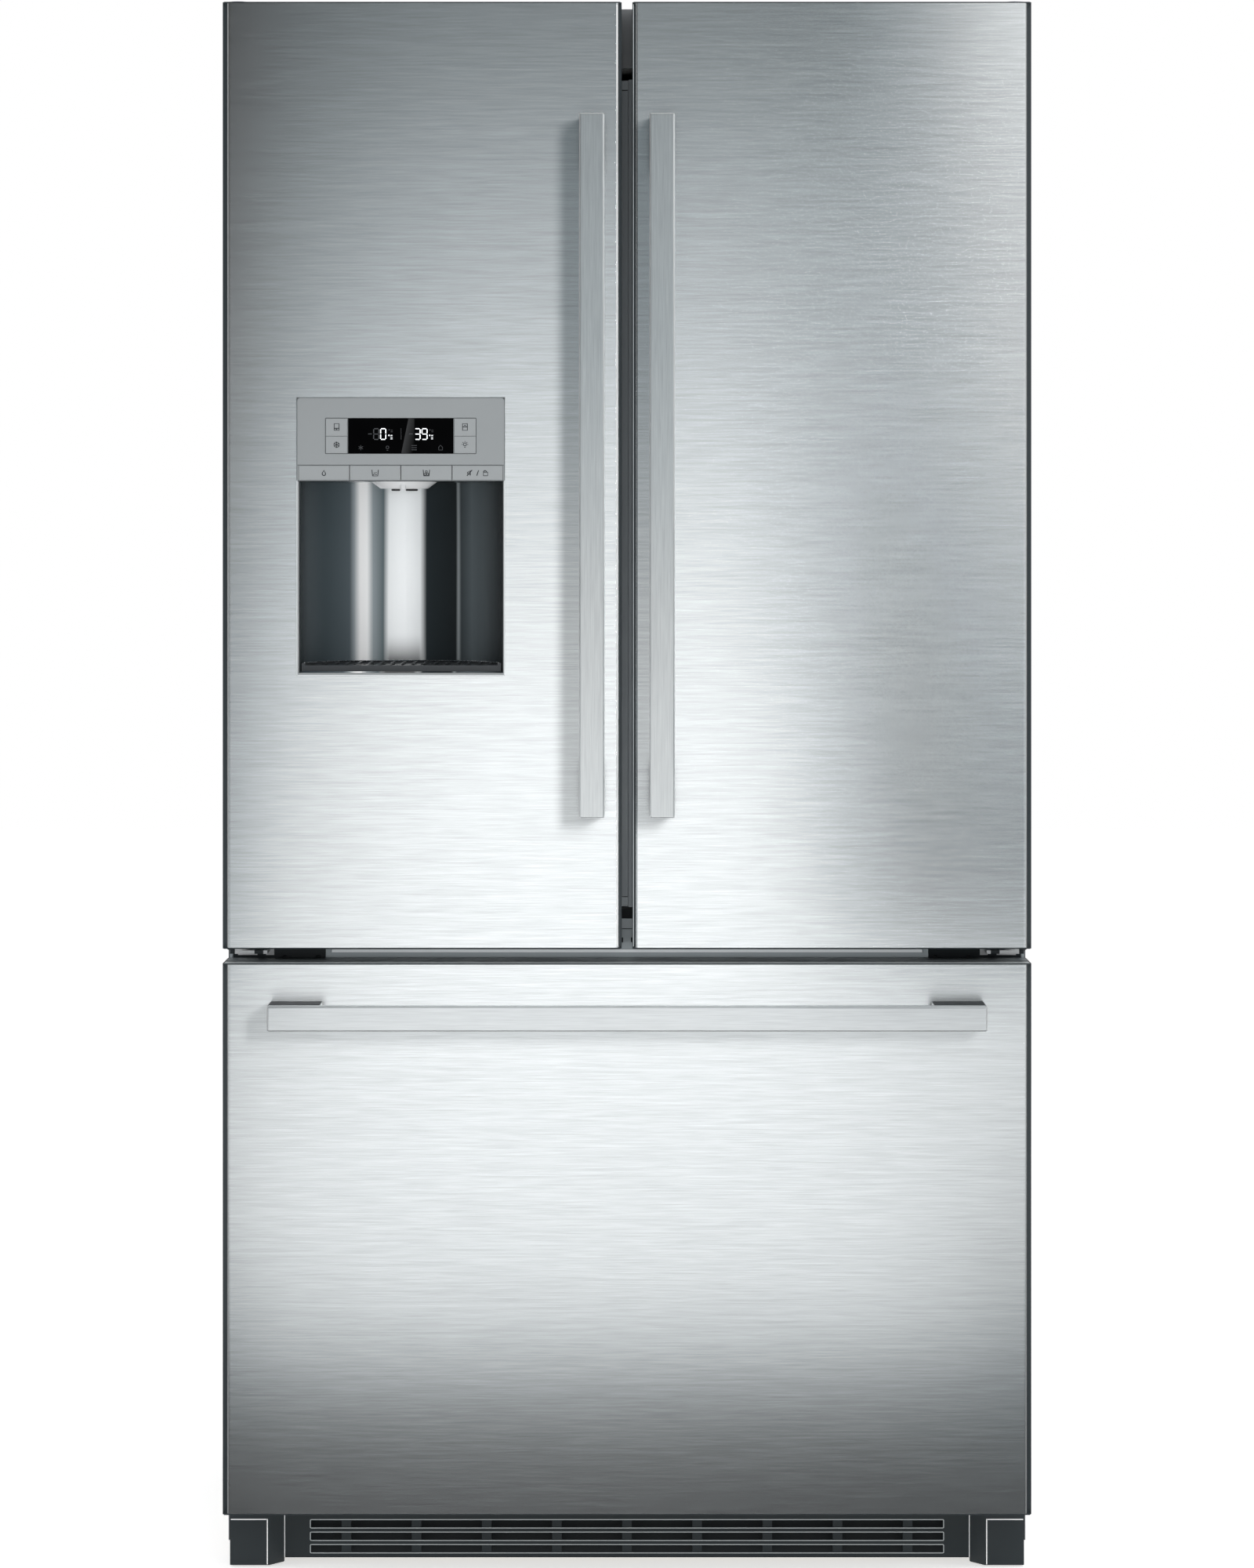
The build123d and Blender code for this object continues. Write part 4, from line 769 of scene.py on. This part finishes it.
def make_display():
    """Lit digits with plain unit bars, the faint unlit marks round them and a painted sheen over the glass, a
    glowing face in place of a reflection.
    """
    low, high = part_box("display_window")
    y = low.y + SINK
    middle = (low + high) / 2
    wide, tall = 5.7 * MM, 11.9 * MM
    base = middle.z - 3.9 * MM
    lit, ghost, sheen = bmesh.new(), bmesh.new(), bmesh.new()

    def at(points):
        return [(middle.x + x * MM, middle.z + z * MM) for x, z in points]

    def line(bm, points, width, closed=False):
        ribbon(bm, at(points), width * MM, y, PRINT, closed)

    for digit, dx in (("0", -22.5), ("3", 15.9), ("9", 23.7)):
        seven_segment(lit, digit, middle.x + dx * MM, base, wide, tall, y, True)
    seven_segment(ghost, "8", middle.x - 30.3 * MM, base, wide, tall, y, True)
    line(ghost, [(-36.5, 2.2), (-32.3, 2.2)], 0.9)
    line(ghost, [(9.4, 2.2), (13.4, 2.2)], 0.9)
    for dx in (-13.6, 31.9):
        line(ghost, arc((dx + 0.6, 6.7), 0.6, 0, 330, 8), 0.4, closed=True)
        line(lit, arc((dx + 0.4, 0.6), 0.6, 0, 330, 8), 0.5, closed=True)
        for z in (6.3, 4.5):
            line(ghost, [(dx + 2.4, z), (dx + 4.6, z)], 0.6)
        for z in (0.6, -1.4, -3.4):
            line(lit, [(dx + 2.1, z), (dx + 4.3, z)], 0.6)
    line(ghost, [(0.3, -4.1), (0.3, 8.6)], 0.4)
    for star, _ in cross_lines(2.8, 3, (-44.7, -13.2)):
        line(ghost, star, 0.6)
    line(ghost, arc((-14.9, -12.9), 1.6, -55, 235, 12), 0.6, closed=True)
    line(ghost, [(-15.8, -16.0), (-14.0, -16.0)], 0.6)
    for z in (-10.8, -13.2, -15.6):
        line(ghost, [(12.0, z), (18.0, z)], 0.7)
    line(ghost, [(42.4, -15.8), (46.6, -15.8), (46.6, -12.6), (44.5, -10.4), (42.4, -12.6)], 0.6, closed=True)
    # painted sheen: a slanted glowing face over the glass in place of a reflection
    half = (high.z - low.z) / 2 / MM - 0.4
    slant = at([(0.6, -half), (8.6, half), (15.2, half), (15.2, -half)])
    sheen.faces.new([sheen.verts.new((x, y - 0.035 * MM, z)) for x, z in slant])
    piece("display_digits", lit, "door_left", "lit", smooth=False)
    piece("display_unlit_marks", ghost, "door_left", "dim", smooth=False)
    piece("display_painted_sheen", sheen, "door_left", "sheen", smooth=False)


def make_dispenser_lines():
    """The outline round the bezel with its rounded corners, the frames of the small keys and the key gaps:
    painted highlights along the bezel's lower rim and on the upper small keys' lower edges, painted shade along
    its upper rim, and dark joint lines round, between and under the keys.
    """
    low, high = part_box("dispenser_bezel")
    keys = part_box("key_water")
    y = low.y + SINK
    corner = 4.2 * MM
    light, dark, shade, steel = bmesh.new(), bmesh.new(), bmesh.new(), bmesh.new()
    inset = 0.5 * MM
    steps = 8
    head = rounded_loop((low.x + inset, high.x - inset), (keys[0].z, high.z - inset), corner, steps)
    top_corners = head[:2 * (steps + 1)]
    # painted shade along the bezel's top corners
    ribbon(shade, top_corners, 0.9 * MM, y)
    for x in (low.x + inset, high.x - inset):
        # painted highlight up the bezel's lower sides, painted shade up its upper sides
        ribbon(light, [(x, low.z + inset), (x, keys[0].z)], 0.9 * MM, y)
        ribbon(shade, [(x, keys[0].z), (x, high.z - corner)], 0.7 * MM, y)
    # painted highlight along the bezel's bottom rim
    ribbon(light, [(low.x + inset, low.z + inset), (high.x - inset, low.z + inset)], 0.9 * MM, y)
    for side, start in ((1, 0), (-1, 90)):
        edge = high.x if side > 0 else low.x
        curve = arc((edge - side * corner, high.z - corner), corner, start, start + 90, steps)
        outline = [(edge, high.z)] + curve
        steel.faces.new([steel.verts.new((x, y - 0.05 * MM, z)) for x, z in outline])
    for lower, upper in (("key_quick_ice", "key_freezer_temperature"), ("key_light", "key_fridge_temperature")):
        a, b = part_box(lower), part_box(upper)
        edge = 0.4 * MM
        ribbon(shade, rounded_loop((a[0].x - edge, a[1].x + edge), (a[0].z - edge, b[1].z + edge), 1.2 * MM),
               0.45 * MM, y, closed=True)
        ribbon(shade, [(a[0].x, (a[1].z + b[0].z) / 2), (a[1].x, (a[1].z + b[0].z) / 2)], 0.8 * MM, y)
        # painted highlight on the lower edge of the upper key
        ribbon(light, [(a[0].x, b[0].z + 0.3 * MM), (a[1].x, b[0].z + 0.3 * MM)], 0.3 * MM, y)
    for z in (keys[0].z - 0.2 * MM, keys[1].z + 0.3 * MM):
        ribbon(shade, [(low.x + 1.2 * MM, z), (high.x - 1.2 * MM, z)], 0.6 * MM, y)
    under = keys[0].z - 0.7 * MM
    ribbon(dark, [(low.x + 1.2 * MM, under), (high.x - 1.2 * MM, under)], 0.5 * MM, y)
    piece("dispenser_highlight_lines", light, "door_left", "light_line", smooth=False)
    piece("dispenser_dark_lines", dark, "door_left", "line_dark", smooth=False)
    piece("dispenser_shade_lines", shade, "door_left", "shade_line", smooth=False)
    piece("bezel_corner_blends", steel, "door_left", "steel_front", smooth=False)


def make_funnel():
    """The two dark outlet rings under the keys."""
    low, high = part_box("dispenser_nozzle")
    bm = bmesh.new()
    z = low.z - 0.2 * MM
    for dx, radius in ((-9, 4.0), (9, 6.0)):
        cx, cy = (low.x + high.x) / 2 + dx * MM, low.y + 22 * MM
        ring = [(cx + radius * MM * math.cos(a), cy + radius * MM * math.sin(a), z)
                for a in turns(24)]
        sweep(bm, ring, 1.1 * MM, 8, closed=True)
    piece("nozzle_outlets", bm, "door_left", "outlet_dark")


def make_tray_slats():
    """Low slats across the drip tray and the light line along its curved front lip."""
    low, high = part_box("drip_tray")
    bm, lip = bmesh.new(), bmesh.new()
    count = 17
    middle = (low.x + high.x) / 2
    half = (high.x - low.x) / 2
    for k in range(count):
        x = low.x + (high.x - low.x) * (k + 1) / (count + 1)
        share = (x - middle) / half
        deep = (high.y - low.y) * math.sqrt(max(0.05, 1 - share * share)) * 0.82
        add_block(bm, (x - 1.1 * MM, low.y + 10 * MM, high.z - 0.4 * MM),
                  (x + 1.1 * MM, low.y + 6 * MM + deep, high.z + 0.05 * MM), 0.1 * MM)
    rise = []
    for k in range(21):
        share = -1 + k / 10
        deep = (high.y - low.y) * 0.93 * math.sqrt(max(0.0, 1 - share * share))
        rise.append((middle + share * (half - 3 * MM), low.y + 2 * MM + deep, high.z + 0.5 * MM))
    sweep(lip, rise, 0.55 * MM, 8)
    piece("drip_tray_slats", bm, "tray_drip", "tray_dark")
    piece("drip_tray_lip", lip, "tray_drip", "slide_steel")


# ---------------------------------------------------------------- doors, handles, mullion
def make_handle_seams():
    """The fine joint where each bar sits on its end blocks, and painted shade on the tops of the drawer
    handle's end blocks.
    """
    bar, post = 16 * MM, 58 * MM
    for node, body in zip(HANDLES, ("door_left", "door_right", "drawer")):
        low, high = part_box(node)
        bm = bmesh.new()
        line = 0.35 * MM
        y = low.y + bar
        tall = high.z - low.z > high.x - low.x
        long_axis = 2 if tall else 0
        for end in (low[long_axis], high[long_axis] - post):
            span = [[low.x, high.x], [y, y + line], [low.z, high.z]]
            span[long_axis] = [end, end + post]
            for axis in range(3):
                if axis not in (1, long_axis):
                    span[axis] = [span[axis][0] + 0.45 * MM, span[axis][1] - 0.45 * MM]
            add_block(bm, [s[0] for s in span], [s[1] for s in span])
            # painted shade: a dark slab on the top of each end block of the drawer handle
            if not tall:
                add_block(bm, (end + 0.6 * MM, y + 0.6 * MM, high.z - 0.2 * MM),
                          (end + post - 0.6 * MM, high.y - 0.3 * MM, high.z + 0.3 * MM), 0.1 * MM)
        piece(node + "_seams", bm, body, "line_dark", smooth=False)


def gasket_ribs(name, node, body):
    """Two soft ribs round a magnetic gasket, which give it its accordion look."""
    low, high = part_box(node)
    bm = bmesh.new()
    front, rear = low.y + 2.6 * MM, high.y - 2.2 * MM
    for inset, y, radius in ((4.0, front, 1.5), (11.5, front, 1.5), (7.8, rear, 1.9)):
        x = (low.x + inset * MM, high.x - inset * MM)
        z = (low.z + inset * MM, high.z - inset * MM)
        path = [(px, y, pz) for px, pz in rounded_loop(x, z, 7 * MM)]
        sweep(bm, path, radius * MM, 8, closed=True)
    piece(name, bm, body, "gasket_grey")


def make_gasket_ribs():
    """The ribs of both doors' gaskets and of the drawer's."""
    for side in ("left", "right"):
        gasket_ribs(side + "_gasket_ribs", "door_" + side + "_gasket", "door_" + side)
    gasket_ribs("drawer_gasket_ribs", "drawer_gasket", "drawer")


def make_mullion_details():
    """The mullion's light end pieces and dark joint lines, and the door's soft lip beside it."""
    low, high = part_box("mullion")
    y = low.y + SINK
    light, dark = bmesh.new(), bmesh.new()
    edge = 1.2 * MM
    for z0, z1 in ((low.z + 0.6 * MM, low.z + 10.4 * MM), (high.z - 10.4 * MM, high.z - 0.6 * MM)):
        ribbon(light, [(low.x + 8 * MM, (z0 + z1) / 2), (high.x - edge, (z0 + z1) / 2)], z1 - z0, y)
    for z in (low.z + 11 * MM, high.z - 11 * MM):
        ribbon(dark, [(low.x + edge, z), (high.x - edge, z)], 0.7 * MM, y)
    piece("mullion_end_caps", light, "mullion_post", "cap_grey", smooth=False)
    piece("mullion_joints", dark, "mullion_post", "line_dark", smooth=False)
    lip = bmesh.new()
    door_low, door_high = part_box("door_right_frame")
    add_block(lip, (high.x - 0.4 * MM, door_high.y - 3.0 * MM, low.z),
              (door_low.x + 0.5 * MM, door_high.y - 1.4 * MM, high.z), 0.3 * MM)
    piece("right_door_lip", lip, "door_right", "mullion_grey")


def make_door_edge_lines():
    """Painted highlights along the doors' gap: a bright one on the left door's rolled edge and a thin light one
    on the right door's edge.
    """
    left_highlight, right_highlight = bmesh.new(), bmesh.new()
    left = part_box("door_left_skin")
    y = FRONT + SINK
    x = left[1].x - 1.9 * MM
    # painted highlight on the left door's rolled edge
    ribbon(left_highlight, [(x, left[0].z + 2 * MM), (x, left[1].z - 2 * MM)], 1.3 * MM, y)
    frame_low, frame_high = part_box("door_right_frame")
    x = frame_low.x + 1.2 * MM
    # painted highlight on the right door's edge
    ribbon(right_highlight, [(x, frame_low.z + 3 * MM), (x, frame_high.z - 3 * MM)], 0.6 * MM, frame_low.y + SINK)
    piece("left_door_bright_edge", left_highlight, "door_left", "bright_line", smooth=False)
    piece("right_door_thin_edge", right_highlight, "door_right", "rim_line", smooth=False)


def make_rail_details():
    """The ledge under the doors as a painted highlight where its top is lit, the drawer's trim line, and the
    steps that show through the centre gap with painted shadows round them.
    """
    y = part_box("mid_rail")[0].y + SINK
    light, dark, cap = bmesh.new(), bmesh.new(), bmesh.new()
    reach, ledge_z = 0.335, 699.4 * MM
    # painted highlight: the lit top of the ledge, as a light grey strip
    ribbon(light, [(-reach, ledge_z), (reach, ledge_z)], 3.2 * MM, y)
    # painted shadows: dark strips in the centre gap, under its cap and beside the notches below
    ribbon(dark, [(0, 736.0 * MM), (0, 748.0 * MM)], 16 * MM, y)
    ribbon(dark, [(-8 * MM, 724.4 * MM), (8 * MM, 724.4 * MM)], 0.8 * MM, y)
    for side in (-1, 1):
        ribbon(dark, [(side * 5.4 * MM, 709.0 * MM), (side * 5.4 * MM, 714.5 * MM)], 2.0 * MM, y)
    ribbon(cap, [(0, 725.0 * MM), (0, 735.5 * MM)], 16 * MM, y)
    piece("mid_rail_ledge_highlight", light, "cabinet", "ledge_grey", smooth=False)
    piece("mid_rail_painted_shadows", dark, "cabinet", "line_dark", smooth=False)
    piece("mid_rail_cap", cap, "cabinet", "cap_grey", smooth=False)
    drawer_low, drawer_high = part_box("drawer_frame")
    trim = bmesh.new()
    add_block(trim, (drawer_low.x + 2 * MM, drawer_low.y + 1.2 * MM, drawer_high.z - 0.3 * MM),
              (drawer_high.x - 2 * MM, drawer_low.y + 22 * MM, drawer_high.z + 0.15 * MM), 0.1 * MM)
    piece("drawer_top_trim", trim, "drawer", "rim_line")
    cap_top = bmesh.new()
    add_block(cap_top, (drawer_low.x + 2 * MM, drawer_low.y + 33 * MM, drawer_high.z - 0.3 * MM),
              (drawer_high.x - 2 * MM, drawer_high.y - 1 * MM, drawer_high.z + 0.15 * MM), 0.1 * MM)
    piece("drawer_top_cap", cap_top, "drawer", "rail_grey")


# ---------------------------------------------------------------- base
def make_kick_lines():
    """Painted highlights round the rims of the grille slots, a black baffle behind them that stands in for the
    shade inside the base, with lighter ribs, and painted highlights on the edges of the foot covers.
    """
    low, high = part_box("kick_plate")
    rim_highlights, shade_baffle, ribs = bmesh.new(), bmesh.new(), bmesh.new()
    y = low.y + SINK
    reach = 360 * MM
    behind = high.y + 8 * MM
    # a black sheet behind the slots that stands in for the shade inside the base
    add_block(shade_baffle, (-reach - 24 * MM, behind, low.z + 1 * MM),
              (reach + 24 * MM, behind + 1.5 * MM, high.z - 1 * MM), 0.4 * MM)
    for row in range(3):
        z0 = (12.2 + 14.2 * row) * MM
        rim = rounded_loop((-reach - 1.0 * MM, reach + 1.0 * MM), (z0 - 1.0 * MM, z0 + 8.6 * MM), 1.2 * MM, 3)
        # painted highlight round the rim of each slot
        ribbon(rim_highlights, rim, 0.9 * MM, y, closed=True)
        for k in range(-4, 5):
            if row < 2:
                x = 80 * MM * k
                add_block(ribs, (x - 5 * MM, high.y + 0.5 * MM, z0 - 1 * MM),
                          (x + 5 * MM, behind, z0 + 6.2 * MM), 0.4 * MM)
    piece("kick_slot_rim_highlights", rim_highlights, "cabinet", "rim_line", smooth=False)
    piece("kick_baffle", shade_baffle, "cabinet", "baffle_black")
    piece("kick_baffle_ribs", ribs, "cabinet", "baffle_rib")
    edges = bmesh.new()
    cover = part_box("foot_covers")
    face = cover[0].y + SINK
    for sign in (-1, 1):
        outer, inner, joint = cover[1].x * sign, 408.5 * MM * sign, 390.2 * MM * sign
        top = 53.5 * MM
        # painted highlights along the foot cover's top and inner edges and along the kick plate's joint
        ribbon(edges, [(outer - 1.0 * MM * sign, top), (inner, top)], 1.3 * MM, face)
        ribbon(edges, [(inner, top + 0.6 * MM), (inner, cover[0].z + 1 * MM)], 1.3 * MM, face)
        ribbon(edges, [(joint, high.z - 0.3 * MM), (joint, low.z + 0.3 * MM)], 1.0 * MM, y)
    piece("foot_cover_edge_highlights", edges, "cabinet", "bright_line", smooth=False)


def make_screws():
    """Cross-head screws on the middle hinges and the rear sheet."""
    bm = bmesh.new()
    plate_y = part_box("mid_rail")[0].y - 1.0 * MM
    for sign in (-1, 1):
        for x in (350, 388):
            add_screw(bm, (sign * x * MM, plate_y, 691 * MM), "-Y", 3.6 * MM, 2.2 * MM)
    piece("middle_hinge_screws", bm, "cabinet", "line_dark")
    back_low, back_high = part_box("back_panel")
    rear = bmesh.new()
    sheet_y = back_high.y - 7.0 * MM
    for x in (-0.436, -0.22, 0.0, 0.22, 0.436):
        for z in (back_low.z + 0.010, back_high.z - 0.012):
            add_screw(rear, (x, sheet_y, z), "Y", 4.0 * MM, 2.2 * MM)
    piece("back_panel_screws", rear, "cabinet", "hinge_steel")


# ---------------------------------------------------------------- inside
def make_lamp():
    """The lamp's diffuser in the fridge ceiling, with its ribs."""
    bm = bmesh.new()
    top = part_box("ice_maker")[1].z
    x0, x1 = 0.02, 0.24
    y0, y1 = -0.24, -0.20
    add_block(bm, (x0, y0, top - 8 * MM), (x1, y1, top - 0.5 * MM), 1.5 * MM)
    ribs = 12
    for k in range(ribs):
        x = x0 + (x1 - x0) * (k + 0.5) / ribs
        add_block(bm, (x - 1.2 * MM, y0 + 4 * MM, top - 9.2 * MM),
                  (x + 1.2 * MM, y1 - 4 * MM, top - 7.5 * MM), 0.5 * MM)
    piece("ceiling_lamp", bm, "cabinet", "lamp_cover")


def make_ice_box_lines():
    """The outlines of the ice maker's door and of its latch."""
    low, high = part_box("ice_maker")
    bm = bmesh.new()
    y = low.y + SINK
    inset = 10 * MM
    door = rounded_loop((low.x + inset, high.x - inset), (low.z + inset, high.z - inset), 6 * MM)
    latch = rounded_loop((high.x - 40 * MM, high.x - 18 * MM), (low.z + 0.10, low.z + 0.15), 4 * MM)
    for path, width in ((door, 1.0), (latch, 0.8)):
        ribbon(bm, path, width * MM, y, 0.5 * MM, closed=True)
    piece("ice_box_door_line", bm, "cabinet", "line_dark", smooth=False)


def make_crisper_trim():
    """A grip bar and a runner line on each crisper's front."""
    for node, body in (("crisper_left", "left_crisper"), ("crisper_right", "right_crisper")):
        low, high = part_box(node)
        bm = bmesh.new()
        add_block(bm, (low.x + 12 * MM, low.y + 0.3 * MM, high.z - 26 * MM),
                  (high.x - 12 * MM, low.y + 7 * MM, high.z - 12 * MM), 2 * MM)
        for k in range(3):
            z = high.z - (16 + 3 * k) * MM
            add_block(bm, (low.x + 40 * MM, low.y + 0.1 * MM, z - 0.5 * MM),
                      (high.x - 40 * MM, low.y + 1.0 * MM, z + 0.5 * MM), 0.2 * MM)
        piece(node + "_grip", bm, body, "shelf_rim")


def make_basket_bars():
    """Moulded ribs across the fronts of the deep freezer bin and the shallow tray."""
    reach, wall = 0.36, 0.6 * MM
    for node, body, rows in (("freezer_basket", "drawer", 5), ("freezer_tray", "upper_tray", 2)):
        low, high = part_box(node)
        bm = bmesh.new()
        for k in range(rows):
            z = low.z + (high.z - low.z) * (k + 1) / (rows + 1)
            add_block(bm, (-reach, low.y + 0.05 * MM - wall, z - 2 * MM),
                      (reach, low.y + 1.0 * MM, z + 2 * MM), 0.5 * MM)
        piece(node + "_ribs", bm, body, "freezer_bin")


def make_compressor_details():
    """Two copper tubes over the compressor and its terminal box."""
    low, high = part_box("compressor")
    centre = (low + high) / 2
    box, tubes = bmesh.new(), bmesh.new()
    for dy, rise in ((-0.02, 0.045), (0.015, 0.06)):
        bend = [math.pi * k / 14 for k in range(15)]
        path = [(centre.x - 0.02 + 0.03 * math.cos(a), centre.y + dy + 0.01 * math.sin(a),
                 high.z - 0.01 + rise * a / math.pi) for a in bend]
        sweep(tubes, path, 3.2 * MM, 10)
    piece("compressor_tubes", tubes, "cabinet", "copper")
    add_block(box, (low.x - 6 * MM, centre.y - 0.02, centre.z),
              (low.x + 12 * MM, centre.y + 0.02, centre.z + 0.035), 2 * MM)
    piece("compressor_terminal_box", box, "cabinet", "line_dark")


def make_back_ribs():
    """Stiffening beads pressed into the rear sheet."""
    bm = bmesh.new()
    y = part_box("back_panel")[1].y - 7.4 * MM
    for x in (-0.30, -0.10, 0.10, 0.30):
        sweep(bm, [(x, y, z) for z in (0.62, 0.63, 1.0, 1.66, 1.67)], 2.2 * MM, 12)
    piece("back_panel_beads", bm, "cabinet", "back_sheet")


# ---------------------------------------------------------------- make everything
make_camera()
make_world()
make_card()
make_lights()
make_floor()
make_materials()
dress_nodes()
soften_edges()
make_icons()
make_display()
make_dispenser_lines()
make_funnel()
make_tray_slats()
make_handle_seams()
make_gasket_ribs()
make_mullion_details()
make_door_edge_lines()
make_rail_details()
make_kick_lines()
make_screws()
make_lamp()
make_ice_box_lines()
make_crisper_trim()
make_basket_bars()
make_compressor_details()
make_back_ribs()
make_gap_lights()
